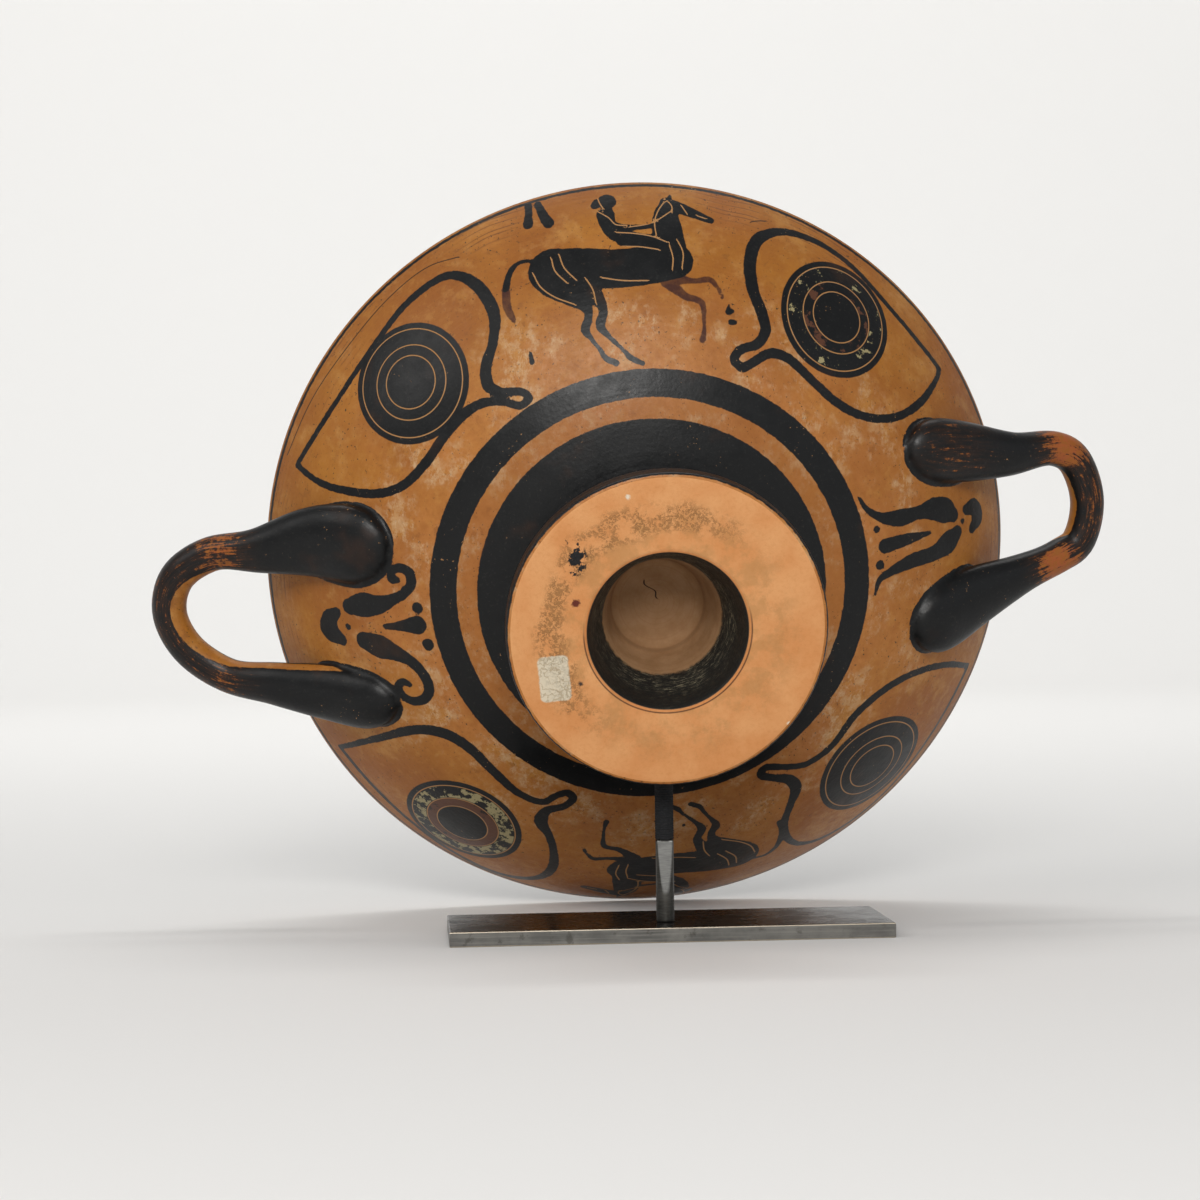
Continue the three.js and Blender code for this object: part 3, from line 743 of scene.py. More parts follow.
def cup_map(mesh, places):
    """Lays each face on its zone's island: the bowl's outside, its inside and the foot's
    underside as discs of the distance along the clay, the stem and the handles as strips."""
    off, run = on_section(places)
    theta = np.arctan2(-places[:, 1], places[:, 0])
    count = len(mesh.polygons)
    starts = np.empty(count, int)
    totals = np.empty(count, int)
    mesh.polygons.foreach_get("loop_start", starts)
    mesh.polygons.foreach_get("loop_total", totals)
    corner = np.empty(len(mesh.loops), int)
    mesh.loops.foreach_get("vertex_index", corner)
    face = np.repeat(np.arange(count), totals)
    middle_run = np.add.reduceat(run[corner], starts) / totals
    middle_off = np.add.reduceat(off[corner], starts) / totals
    middle_x = np.add.reduceat(places[corner, 0], starts) / totals
    first = starts[face]

    def disc(island, radius, size):
        reach = island[2] * radius[corner] / size
        return np.stack([island[0] + reach * np.cos(theta[corner]),
                         island[1] + reach * np.sin(theta[corner])], 1)

    def strip(island, across, angle):
        turn = (unrolled(angle, first) + np.pi) / (2 * np.pi) * 0.965
        return np.stack([island[0] + island[2] * across,
                         island[1] + island[3] * np.clip(turn, -0.01, 1)], 1)

    outer = disc(BOWL_ISLAND, run_of(run), PAINT_TO + 0.5)
    inner = disc(INSIDE_ISLAND, run, MARKS["painted"])
    under = disc(FOOT_ISLAND, MARKS["end"] - run, MARKS["end"] - MARKS["under"])
    span = (run[corner] - MARKS["crown"]) / (MARKS["under"] - MARKS["crown"])
    stem = strip(STEM_ISLAND, np.clip(span, 0, 1), theta[corner])
    uv = outer
    uv = np.where((middle_run < MARKS["painted"])[face, None], inner, uv)
    uv = np.where((middle_run > MARKS["crown"])[face, None], stem, uv)
    uv = np.where((middle_run > MARKS["under"])[face, None], under, uv)
    for handle, island in zip(HANDLES, HANDLE_ISLANDS):
        along, angle = round_handle(places, handle)[:2]
        laid = strip(island, np.clip(along[corner], 0, 1), angle[corner])
        mine = (middle_off > OFF_BOWL) & (middle_x * handle["side"] > 80)
        uv = np.where(mine[face, None], laid, uv)
    layer = mesh.uv_layers.new(name="OFBake")
    layer.uv.foreach_set("vector", uv.astype(np.float32).ravel())
    return middle_run > MARKS["under"]


def put(mesh, name, values):
    """Keeps one number or one vector for each vertex, for the materials to read."""
    kind, key = ("FLOAT", "value") if values.ndim == 1 else ("FLOAT_VECTOR", "vector")
    layer = mesh.attributes.new(name, kind, "POINT")
    layer.data.foreach_set(key, values.astype(np.float32).ravel())


def laid_over(places):
    """From the cup's upright frame to where it lies on its stand, in metres."""
    axes = np.stack([CUP_X, CUP_Y, CUP_AXIS])
    return (CUP_FOOT + places @ axes) * MM


def make_cup(materials):
    """The whole cup as one closed mesh, with its fields and its map worked out upright."""
    mesh = fused(turned_cup(), [handle_loft(handle) for handle in HANDLES])
    edges = np.empty(len(mesh.edges) * 2, int)
    mesh.edges.foreach_get("vertices", edges)
    places = vertices_of(mesh)
    for name, values in cup_fields(places).items():
        put(mesh, name, values)
    under = cup_map(mesh, places)
    places = eased_roots(places, edges.reshape(-1, 2))
    mesh.vertices.foreach_set("co", laid_over(places).ravel())
    piece = finished("kylix_painted", mesh, materials, ["kylix"])
    mesh.polygons.foreach_set("material_index", under.astype(int))
    mesh.update()
    return piece


# =============================== the stand ===============================

def up_post(low, high, step):
    """Places up the post's middle line, a step apart."""
    heights = np.arange(low, high + step / 2, step)
    return np.stack([np.full(len(heights), POST_X), np.full(len(heights), POST_Y), heights], 1)


def fork_line(end_gap, step):
    """The fork's middle line: an arc about the cup's axis, open towards the top."""
    half = FORK_HALF_ANGLE - end_gap / FORK_RADIUS
    angle = np.linspace(-half, half, int(2 * half * FORK_RADIUS / step) + 1)[:, None]
    middle = CUP_FOOT + CUP_AXIS * FORK_HEIGHT
    aside = np.array([1.0, 0, 0])
    return middle + FORK_RADIUS * (CUP_DOWN * np.cos(angle) + aside * np.sin(angle))


def fork_lowest():
    """The height of the fork's middle line where it is lowest, straight above the post."""
    return (CUP_FOOT + CUP_AXIS * FORK_HEIGHT)[2] - FORK_RADIUS * np.cos(CUP_PITCH)


def rod(path, radius, name, up, sides=40):
    """A round section carried along the path."""
    radii = np.broadcast_to(radius, len(path)).astype(float)
    return lofted(path, up, radii, radii, sides, name)


FORWARD = np.array([0.0, -1.0, 0.0])


def make_post(material):
    """A round rod whose front is ground away along a slanting plane: no point of it lies further
    forward than the plane, which is deepest where the thread begins. A thinner core and the fork
    go on above it, under the thread."""
    bare = rod(up_post(PLATE_TOP, BARE_TOP - 0.05, 0.6), POST_RADIUS - 0.02, "bare", FORWARD, 72)
    places = vertices_of(bare.data)
    depth = FLAT_DEPTH * np.clip((places[:, 2] - FLAT_FROM) / (BARE_TOP - FLAT_FROM), 0, 1)
    front = POST_Y - POST_RADIUS + depth
    shaft = places[:, 2] > PLATE_TOP
    places[:, 1] = np.where(shaft, np.maximum(places[:, 1], front), places[:, 1])
    bare.data.vertices.foreach_set("co", places.ravel())
    core = rod(up_post(BARE_TOP - 0.4, fork_lowest(), 2.0), CORE_RADIUS - 0.02, "core", FORWARD)
    fork = rod(fork_line(FORK_END_CAP + GAP, 1.5), CORE_RADIUS - 0.02, "fork", CUP_AXIS)
    mesh = fused(bare, [core, fork])
    mesh.vertices.foreach_set("co", (vertices_of(mesh) * MM).ravel())
    return finished("post_ground_rod", mesh, [material], ["post"])


def ribs(path, radius):
    """The radius over close turns of thread: a row of half circles, each one turn wide."""
    run = run_along(path)
    phase = (run / TURN_OF_THREAD) % 1 * 2 - 1
    round_turn = np.sqrt(1 - np.minimum(phase ** 2, 0.9))
    return radius - 0.02 - 0.3 * (1 - round_turn)


def make_binding(material):
    """Close turns of thread over the core and the fork, as a thin ribbed sleeve."""
    outer = CORE_RADIUS + GAP + BINDING_WALL
    inner = CORE_RADIUS + GAP * 0.6
    step = TURN_OF_THREAD / 6
    straight, bend = up_post(BARE_TOP, fork_lowest(), step), fork_line(0, step)
    taper = np.minimum(1, 0.55 + np.arange(len(bend)) / 14)
    taper = np.minimum(taper, taper[::-1])
    wrap = rod(straight, ribs(straight, outer), "wrap", FORWARD, 28)
    arc = rod(bend, ribs(bend, outer) * taper, "arc", CUP_AXIS, 28)
    sleeve = placed("sleeve", fused(wrap, [arc]))
    straight = up_post(BARE_TOP - 2, fork_lowest(), 2.0)
    hollow = [rod(straight, inner, "hollow", FORWARD, 28),
              rod(fork_line(FORK_END_CAP + 0.1, 1.5), inner, "hollow_arc", CUP_AXIS, 28)]
    mesh = fused(sleeve, hollow, "DIFFERENCE")
    mesh.vertices.foreach_set("co", (vertices_of(mesh) * MM).ravel())
    return finished("thread_binding", mesh, [material], ["binding"])


# =============================== materials ===============================

class Finish:
    """A material under construction: each method adds one node and gives back its output. An
    input may be a number, a colour or another node's output."""

    def __init__(self, name):
        self.material = bpy.data.materials.new(name)
        self.material.use_nodes = True
        self.tree = self.material.node_tree
        self.shader = self.tree.nodes["Principled BSDF"]
        self.place = self.scaled(self.add("TexCoord").outputs["Object"], 1 / MM)  # in millimetres

    def add(self, kind, **settings):
        node = self.tree.nodes.new("ShaderNode" + kind)
        for key, value in settings.items():
            setattr(node, key, value)
        return node

    def feed(self, socket, value):
        if isinstance(value, bpy.types.NodeSocket):
            self.tree.links.new(value, socket)
        elif isinstance(value, tuple) and socket.type == "RGBA":
            socket.default_value = (*value, 1.0)
        elif value is not None:
            socket.default_value = value

    def math(self, operation, *values, clamp=False):
        node = self.add("Math", operation=operation, use_clamp=clamp)
        for socket, value in zip(node.inputs, values):
            self.feed(socket, value)
        return node.outputs[0]

    def times(self, *values):
        return self.math("MULTIPLY", *values)

    def plus(self, *values, clamp=False):
        return self.math("ADD", *values, clamp=clamp)

    def minus(self, *values):
        return self.math("SUBTRACT", *values)

    def larger(self, *values):
        return self.math("MAXIMUM", *values)

    def size(self, value):
        return self.math("ABSOLUTE", value)

    def vector(self, operation, *values, output=0):
        node = self.add("VectorMath", operation=operation)
        for socket, value in zip(node.inputs, values):
            self.feed(socket, value)
        return node.outputs[output]

    def scaled(self, vector, factor):
        node = self.add("VectorMath", operation="SCALE")
        self.feed(node.inputs[0], vector)
        node.inputs["Scale"].default_value = factor
        return node.outputs[0]

    def stretched(self, vector, x, y, z):
        return self.vector("MULTIPLY", vector, (x, y, z))

    def values(self, name):
        return self.add("Attribute", attribute_name=name)

    def split(self, vector):
        node = self.add("SeparateXYZ")
        self.feed(node.inputs[0], vector)
        return node.outputs

    def moved(self, x, y, z):
        """Object coordinates moved aside, so that a second noise isn't a copy of the first."""
        return self.vector("ADD", self.place, (x, y, z))

    def noise(self, size, detail, rough, vector=None):
        """Soft noise whose lumps are about size millimetres across, from 0 to 1 round 0.5."""
        node = self.add("TexNoise")
        self.feed(node.inputs["Vector"], self.place if vector is None else vector)
        node.inputs["Scale"].default_value = 1 / size
        node.inputs["Detail"].default_value = detail
        node.inputs["Roughness"].default_value = rough
        return node.outputs["Fac"]

    def radial(self, radius, stretch):
        """A vector that changes only with the radius, for marks that run round."""
        node = self.add("CombineXYZ")
        self.feed(node.inputs[0], self.times(radius, stretch))
        return node.outputs[0]

    def noise_along(self, value, scale, detail):
        """Noise along one number, from 0 to 1 round 0.5."""
        node = self.add("TexNoise", noise_dimensions="1D")
        self.feed(node.inputs["W"], value)
        node.inputs["Scale"].default_value = scale
        node.inputs["Detail"].default_value = detail
        return node.outputs["Fac"]

    def mix_values(self, share, first, second):
        """first where share is 0, second where it is 1, for numbers."""
        node = self.add("Mix", data_type="FLOAT")
        for index, value in ((0, share), (2, first), (3, second)):
            self.feed(node.inputs[index], value)
        return node.outputs[0]

    def step(self, value, low, high, least=0.0, most=1.0, kind="SMOOTHSTEP"):
        """least below low, most above high, and a soft rise or fall between them."""
        node = self.add("MapRange", interpolation_type=kind)
        for socket, number in zip(node.inputs, (value, low, high, least, most)):
            self.feed(socket, number)
        return node.outputs[0]

    def step_line(self, value, low, high, least=0.0, most=1.0):
        """least below low, most above high, and a straight rise or fall between them."""
        return self.step(value, low, high, least, most, "LINEAR")

    def between(self, value, low, high, soft):
        """1 where value lies from low to high, with edges as wide as soft."""
        rise = self.step(value, low - soft / 2, low + soft / 2)
        fall = self.step(value, high - soft / 2, high + soft / 2, 1.0, 0.0)
        return self.times(rise, fall)

    def mix(self, share, first, second):
        """first where share is 0, second where it is 1, for colours."""
        node = self.add("Mix", data_type="RGBA")
        for index, value in ((0, share), (6, first), (7, second)):
            self.feed(node.inputs[index], value)
        return node.outputs[2]

    def bump(self, height):
        """height is in millimetres."""
        node = self.add("Bump")
        node.inputs["Strength"].default_value = 1.0
        node.inputs["Distance"].default_value = MM
        self.feed(node.inputs["Height"], height)
        self.feed(self.shader.inputs["Normal"], node.outputs[0])

    def done(self, colour, roughness, **plain):
        self.feed(self.shader.inputs["Base Color"], colour)
        self.feed(self.shader.inputs["Roughness"], roughness)
        for name, value in plain.items():
            self.shader.inputs[name.replace("_", " ")].default_value = value
        return self.material


CLAY = (0.35, 0.138, 0.018)
CLAY_PALE = (0.45, 0.215, 0.048)
CLAY_DEEP = (0.255, 0.082, 0.011)
CLAY_ROSE = (0.44, 0.170, 0.045)
SLIP = (0.0040, 0.0044, 0.0048)
SLIP_BROWN = (0.035, 0.014, 0.006)
WASH = (0.050, 0.014, 0.007)
BARE_RED = (0.30, 0.075, 0.018)
DIRT = (0.045, 0.026, 0.012)
CHALK = (0.55, 0.40, 0.24)
FADED_RED = (0.105, 0.040, 0.020)
FADED_CREAM = (0.33, 0.28, 0.14)
CUT_CLAY = (0.40, 0.20, 0.07)
SMOKED = (0.17, 0.058, 0.012)
RIM_BRUSHING = (0.085, 0.03, 0.010)
SLIP_DUST = (0.035, 0.034, 0.030)


def clay_colour(f, run, noises):
    """Burnished clay: golden near the rim and rosier towards the stem, in broad clouds, with fine
    mottling, faint turning marks, thin brush lines by the rim, dark pits, and pale scratches."""
    clouds, patches, mid, patchy, fine, tiny = noises
    colour = f.mix(f.step(clouds, 0.30, 0.70), CLAY_DEEP, CLAY)
    inner = f.plus(f.step_line(run, run_of(128), run_of(84), 0.0, 0.9),
                   f.times(f.minus(mid, 0.5), 1.6), clamp=True)
    colour = f.mix(f.times(inner, 0.75), colour, CLAY_ROSE)
    colour = f.mix(f.step(patches, 0.54, 0.68, 0.0, 0.5), colour, CLAY_PALE)
    colour = f.mix(f.step(patches, 0.46, 0.34, 0.0, 0.42), colour, CLAY_DEEP)
    colour = f.mix(f.step(patchy, 0.52, 0.66, 0.0, 0.30), colour, CLAY_PALE)
    colour = f.mix(f.step(patchy, 0.42, 0.30, 0.0, 0.45), colour, SMOKED)
    colour = f.mix(f.step(fine, 0.30, 0.72, 0.0, 0.34), colour, CLAY_DEEP)
    turning = f.noise_along(run, 0.55, 3.0)
    colour = f.mix(f.step(turning, 0.45, 0.72, 0.0, 0.07), colour, CLAY_PALE)
    swaying = f.plus(run, f.times(clouds, 7.0))
    brushed_rim = f.step(f.noise_along(swaying, 0.9, 1.0), 0.56, 0.66)
    brushed_rim = f.times(brushed_rim, f.step(run, run_of(150), run_of(162)))
    brushed_rim = f.times(brushed_rim, f.step(mid, 0.46, 0.66, 0.0, 0.55))
    colour = f.mix(brushed_rim, colour, RIM_BRUSHING)
    pits = f.times(f.step(tiny, 0.645, 0.70), f.step(mid, 0.40, 0.60, 0.35, 1.0))
    colour = f.mix(pits, colour, DIRT)
    rubbed = f.times(f.step(patches, 0.46, 0.62), f.step(run, run_of(130), run_of(104), 0.1, 1.0))
    scratch = f.noise(2.6, 3, 0.85, f.stretched(f.moved(37, 11, 5), 1.0, 1.0, 0.55))
    chalk = f.times(f.step(scratch, 0.48, 0.66), rubbed)
    colour = f.mix(f.times(chalk, 0.42), colour, CHALK)
    colour = f.mix(f.times(rubbed, f.step(patchy, 0.44, 0.60, 0.0, 0.30)), colour, CHALK)
    return colour, turning


def slip_cover(f, run):
    """Where the black slip lies, from 0 to 1, and where it is cut through. The drawn strokes, the
    rings round the stem and the eyes' irises are one coat, with brushed edges."""
    waver = f.times(f.minus(f.noise(2.6, 2, 0.6), 0.5), 0.9)
    drawn = f.plus(f.values("paint").outputs["Fac"], waver)
    cover = f.step(drawn, -0.18, 0.18, 1.0, 0.0)
    soft = f.plus(run, waver)
    rings = (
        (run_of(RIM_RING[0]), run_of(RIM_RING[1])),
        (run_of(OUTER_BAND[0]), run_of(OUTER_BAND[1])),
        (run_of(STEM_BAND), MARKS["under"] - 0.9),
        (0.0, MARKS["lip"] + 2.2),
    )
    for low, high in rings:
        cover = f.larger(cover, f.between(soft, low, high, 0.4))
    out, worn_right, worn_left = f.split(f.values("eye").outputs["Vector"])
    iris = f.plus(out, f.times(waver, 0.018))
    cover = f.larger(cover, f.step(iris, 0.992, 1.008, 1.0, 0.0))
    cut = 0.0
    for ring in IRIS_RINGS:
        cut = f.larger(cut, f.between(out, ring - 0.009, ring + 0.009, 0.010))
    cut = f.larger(cut, f.step(out, 0.018, 0.032, 1.0, 0.0))
    side, reach, tone = f.split(f.values("line").outputs["Vector"])
    fine = f.times(f.step(f.size(side), 0.20, 0.36, 1.0, 0.0),
                  f.step(reach, 0.8, 1.05, 1.0, 0.0))
    drawn_line = f.times(fine, f.step(tone, 0.4, 0.6))
    cut = f.larger(cut, f.times(fine, f.step(tone, 0.4, 0.6, 1.0, 0.0)))
    cover = f.larger(cover, f.times(drawn_line, 0.85))
    return cover, cut, waver, (out, worn_right, worn_left)


def painted_clay():
    """The cup's clay under its coat of black slip, the thin brown strokes, the wear on handles
    and irises, and the cut lines, with a dull sheen on clay and a brighter one on slip."""
    f = Finish("painted clay")
    run = f.values("run").outputs["Fac"]
    clouds, patches = f.noise(46, 2, 0.6), f.noise(21, 4, 0.68)
    mid, fine = f.noise(25, 3, 0.65, f.moved(5, 60, 30)), f.noise(2.4, 3, 0.75)
    tiny, patchy = f.noise(1.1, 2, 0.6), f.noise(5.5, 4, 0.7, f.moved(12, 4, 33))
    clay, turning = clay_colour(f, run, (clouds, patches, mid, patchy, fine, tiny))
    between_bands = f.between(run, run_of(OUTER_BAND[1]), run_of(STEM_BAND), 1.0)
    clay = f.mix(f.times(between_bands, 0.35), clay, CLAY_DEEP)
    cover, cut, waver, eye = slip_cover(f, run)

    thin = f.plus(f.values("thin").outputs["Fac"], waver)
    thin = f.times(f.step(thin, -0.25, 0.35, 1.0, 0.0), f.step(patchy, 0.36, 0.62, 1.0, 0.84))
    colour = f.mix(thin, clay, WASH)

    grip = f.values("grip").outputs["Vector"]
    rub = f.split(grip)[2]
    streaks = f.noise(1.0, 4, 0.75, f.stretched(grip, 0.07, 0.95, 0))
    worn = f.plus(f.times(streaks, 0.64), f.times(fine, 0.36))
    worn = f.step(f.plus(worn, f.times(rub, 0.27)), 0.63, 0.71)
    worn = f.times(worn, f.step(rub, 0.04, 0.16))
    flakes = f.times(f.step(tiny, 0.70, 0.72), f.step(patches, 0.52, 0.62))
    lost = f.larger(worn, flakes)

    tired = f.times(f.step(rub, 0.02, 0.5), f.step(streaks, 0.38, 0.62))
    slip = f.mix(f.larger(f.step(mid, 0.58, 0.76, 0.0, 0.5), tired), SLIP, SLIP_BROWN)
    slip = f.mix(f.step(tiny, 0.58, 0.70, 0.0, 0.22), slip, SLIP_DUST)
    rubbed_bare = f.mix(f.step(fine, 0.35, 0.65), BARE_RED, CLAY_DEEP)
    bare = f.mix(f.step(rub, 0.03, 0.2), CUT_CLAY, rubbed_bare)
    black = f.times(cover, f.minus(1.0, f.larger(lost, cut)))
    shown = f.mix(f.larger(f.times(cut, 0.9), lost), slip, bare)
    colour = f.mix(cover, colour, shown)
    colour = worn_irises(f, colour, eye, patchy, fine)

    gloss = f.step(patchy, 0.3, 0.75, 0.33, 0.45)
    dull = f.step(fine, 0.3, 0.7, 0.40, 0.50)
    roughness = f.mix_values(black, dull, gloss)
    relief = f.times(turning, 0.03)
    relief = f.plus(relief, f.times(f.noise(1.6, 1, 0.6), 0.06))
    relief = f.plus(relief, f.times(f.noise(13, 0, 0.5), 0.30))
    relief = f.minus(relief, f.times(cut, 0.08))
    f.bump(relief)
    return f.done(colour, roughness, Specular_IOR_Level=0.27)


def worn_irises(f, colour, eye, patchy, fine):
    """The worn paint between the rings of two irises: cream and red at the lower left, and a few
    cream flecks and a ruddy patch at the upper right."""
    out, worn_right, worn_left = eye
    right, left = f.step(worn_right, 0.99, 1.0), f.step(worn_left, 0.99, 1.0)
    ring = f.between(out, IRIS_RINGS[1] + 0.02, IRIS_RINGS[0] - 0.02, 0.02)
    inner_ring = f.between(out, IRIS_RINGS[2] + 0.01, IRIS_RINGS[1] - 0.01, 0.02)
    red = f.larger(f.times(left, f.step(patchy, 0.34, 0.44)),
                 f.times(right, f.step(patchy, 0.53, 0.60)))
    colour = f.mix(f.times(f.times(red, inner_ring), 0.85), colour, FADED_RED)
    cream = f.larger(f.times(left, f.step(patchy, 0.49, 0.54)),
                   f.times(right, f.step(patchy, 0.60, 0.64)))
    cream = f.times(cream, f.times(ring, f.step(fine, 0.30, 0.42)))
    return f.mix(f.times(cream, 0.9), colour, FADED_CREAM)


UNDER_CLAY = (0.56, 0.235, 0.078)
UNDER_PALE = (0.63, 0.305, 0.120)
UNDER_DEEP = (0.45, 0.165, 0.045)
UNDER_STAIN = (0.40, 0.20, 0.068)
CRUST = (0.27, 0.128, 0.042)
# painted shade and painted highlight round the hollow's mouth
PAINTED_SHADE_RING, PAINTED_HIGHLIGHT_RING = (0.06, 0.022, 0.010), (0.50, 0.16, 0.04)
DOME_DARK, DOME_PALE = (0.27, 0.145, 0.064), (0.34, 0.195, 0.095)
# the second colour is painted shade along a step in the dome
DOME_CIRCLES, DOME_STEP_SHADE = (0.25, 0.12, 0.05), (0.16, 0.08, 0.035)
WALL_SLIP, WALL_SCRAPED = (0.010, 0.010, 0.009), (0.30, 0.26, 0.17)
CRACK = (0.03, 0.018, 0.012)
PAPER, PAPER_CRAZED = (0.60, 0.53, 0.40), (0.33, 0.25, 0.15)
SPLASH, RED_SPOT = (0.012, 0.012, 0.013), (0.11, 0.022, 0.012)
BLOT, CHIP = (0.05, 0.03, 0.02), (0.66, 0.58, 0.45)
FOOT_SPOTS = (  # place, half width, half height, colour and how ragged it is
    (-30.3, 31.1, 2.7, 4.4, SPLASH, 1.25),
    (-31.9, 14.8, 1.6, 1.4, RED_SPOT, 0.35),
    (-33.3, -15.4, 0.9, 0.8, BLOT, 0.2),
    (40.7, -39.7, 0.8, 0.7, CHIP, 0.2),
    (-9.6, 51.2, 0.8, 0.8, CHIP, 0.3),
)


def in_foot_frame(f):
    """Object coordinates turned into the cup's frame, from the middle of the foot, in mm:
    x to the right, y up and z along the axis for someone who looks at the foot."""
    away = f.vector("SUBTRACT", f.place, tuple(CUP_FOOT))
    right = f.vector("DOT_PRODUCT", away, tuple(CUP_X), output=1)
    up = f.vector("DOT_PRODUCT", away, tuple(-CUP_Y), output=1)
    deep = f.vector("DOT_PRODUCT", away, tuple(CUP_AXIS), output=1)
    joined = f.add("CombineXYZ")
    for socket, value in zip(joined.inputs, (right, up, deep)):
        f.feed(socket, value)
    return joined.outputs[0], right, up, deep


def foot_clay():
    """The foot's bare underside and the hollow in it: matt salmon clay with brown crusts, a dark
    splash, a bare pale patch, and black slip on the hollow's wall down to half its depth."""
    f = Finish("bare foot clay")
    here, right, up, deep = in_foot_frame(f)
    radius = f.vector("LENGTH", f.stretched(here, 1, 1, 0), output=1)
    soft = f.noise(19, 3, 0.6)
    colour = f.mix(f.step(soft, 0.3, 0.7), UNDER_CLAY, UNDER_PALE)
    grain = f.noise(1.4, 3, 0.75)
    colour = f.mix(f.step(grain, 0.42, 0.8, 0.0, 0.30), colour, UNDER_DEEP)
    flat = f.step(deep, 0.1, 0.5, 1.0, 0.0)

    patchy = f.noise(8, 4, 0.65)
    stain = f.step(patchy, 0.42, 0.62)
    stain = f.times(stain, f.step(radius, 52, 38, 0.0, 0.55))
    colour = f.mix(f.times(stain, flat), colour, UNDER_STAIN)
    around = f.plus(radius, f.times(f.minus(soft, 0.5), 16.0))
    crust_zone = f.times(f.between(around, 37, 48, 5.0), flat)
    upper_left = f.step(f.minus(up, f.times(right, 1.1)), -12.0, 26.0, 0.12, 1.0)
    crust = f.times(f.step(f.noise(1.3, 3, 0.85), 0.485, 0.535), f.step(patchy, 0.38, 0.52))
    crust = f.times(f.times(crust, crust_zone), upper_left)
    colour = f.mix(f.times(crust, 0.8), colour, CRUST)

    # A painted shade line round the hollow's mouth, darkest on its lower side, and inside it a painted
    # highlight on the mouth's rounded edge.
    ring = f.times(f.between(radius, HOLLOW_RADIUS + 0.95, HOLLOW_RADIUS + 1.5, 0.4), flat)
    ring = f.times(ring, f.step(up, -2.0, 8.0, 0.85, 0.1))
    colour = f.mix(ring, colour, PAINTED_SHADE_RING)
    lit = f.times(f.between(radius, HOLLOW_RADIUS + 0.2, HOLLOW_RADIUS + 0.9, 0.3), flat)
    colour = f.mix(f.times(lit, 0.5), colour, PAINTED_HIGHLIGHT_RING)

    ragged = f.times(f.minus(f.noise(2.4, 3, 0.75), 0.5), 9.0)

    for x, y, half_wide, half_high, tone, rough in FOOT_SPOTS:
        across = f.math("DIVIDE", f.minus(right, x), half_wide)
        high = f.math("DIVIDE", f.minus(up, y), half_high)
        out = f.math("POWER", f.plus(f.math("POWER", f.size(across), 2.0),
                                     f.math("POWER", f.size(high), 2.0)), 0.5)
        edge = f.plus(f.times(f.minus(out, 1.0), min(half_wide, half_high)), f.times(ragged, rough))
        cover = f.times(f.step(edge, -0.4, 0.4, 1.0, 0.0), flat)
        colour = f.mix(cover, colour, tone)
    patch = rounded_patch(f, right, up, flat, ragged)
    crazed = f.between(f.noise(3.2, 2, 0.5, f.moved(9, 2, 7)), 0.47, 0.53, 0.03)
    paper = f.mix(f.times(crazed, 0.55), PAPER, PAPER_CRAZED)
    colour = f.mix(patch, colour, paper)

    down_wall = f.plus(deep, f.times(ragged, 0.45))
    slip = f.times(f.step(deep, 0.25, 0.6), f.step(down_wall, 20.0, 22.2, 1.0, 0.0))
    scraped = f.noise(1.0, 4, 0.8, f.stretched(here, 0.30, 0.30, 2.4))
    scraped = f.times(f.step(scraped, 0.50, 0.68), f.step(deep, 5, 15, 0.10, 0.85))
    scraped = f.times(scraped, f.step(patchy, 0.4, 0.6, 0.3, 1.0))
    wall = f.mix(scraped, WALL_SLIP, WALL_SCRAPED)
    colour_deep = f.mix(f.step(patchy, 0.3, 0.7), DOME_DARK, DOME_PALE)
    circles = f.noise(1.0, 3, 0.6, f.radial(radius, 1.3))
    colour_deep = f.mix(f.step(circles, 0.45, 0.7, 0.0, 0.4), colour_deep, DOME_CIRCLES)
    # A darker line where the dome has a step that the mesh doesn't have: painted shade along the step's
    # edge.
    step_shade_ring = f.between(radius, 17.3, 18.1, 0.5)
    colour_deep = f.mix(f.times(step_shade_ring, 0.45), colour_deep, DOME_STEP_SHADE)
    inside = f.step(deep, 0.9, 1.8)
    colour = f.mix(inside, colour, colour_deep)
    colour = f.mix(slip, colour, wall)

    leaning = f.plus(right, f.times(f.minus(up, 5.0), 0.68))
    crack = f.plus(leaning, f.times(f.math("SINE", f.times(up, 1.1)), 0.8))
    crack = f.size(f.plus(crack, 1.5))
    crack = f.times(f.step(crack, 0.12, 0.36, 1.0, 0.0), f.between(up, 1.0, 9.0, 1.0))
    crack = f.times(crack, f.step(deep, 40, 41))
    colour = f.mix(crack, colour, CRACK)

    gloss = f.times(slip, -0.25)
    roughness = f.plus(f.step(grain, 0.3, 0.7, 0.72, 0.86), gloss)
    relief = f.times(grain, 0.10)
    relief = f.plus(relief, f.times(crust, 0.12))
    relief = f.plus(relief, f.times(circles, 0.08))
    relief = f.plus(relief, f.times(soft, 0.25))
    relief = f.minus(relief, f.times(crack, 0.4))
    f.bump(relief)
    return f.done(colour, roughness, Specular_IOR_Level=0.3)


PATCH_MIDDLE = (-42.5, -12.5)
PATCH_CORE = (3.55, 6.5)  # half its width and height, less the corners' radius
PATCH_CORNER = 2.0


def rounded_patch(f, right, up, flat, ragged):
    """A pale rubbed patch, a little taller than wide, with rounded corners and a worn face."""
    across = f.minus(f.size(f.plus(right, -PATCH_MIDDLE[0])), PATCH_CORE[0])
    high = f.minus(f.size(f.plus(up, -PATCH_MIDDLE[1])), PATCH_CORE[1])
    across = f.larger(across, 0.0)
    high = f.larger(high, 0.0)
    out = f.math("SQRT", f.plus(f.times(across, across), f.times(high, high)))
    edge = f.plus(f.minus(out, PATCH_CORNER), f.times(ragged, 0.12))
    cover = f.step(edge, -0.35, 0.35, 1.0, 0.0)
    cover = f.times(cover, f.step(f.noise(1.2, 4, 0.7), 0.25, 0.4, 0.72, 0.97))
    return f.times(cover, flat)


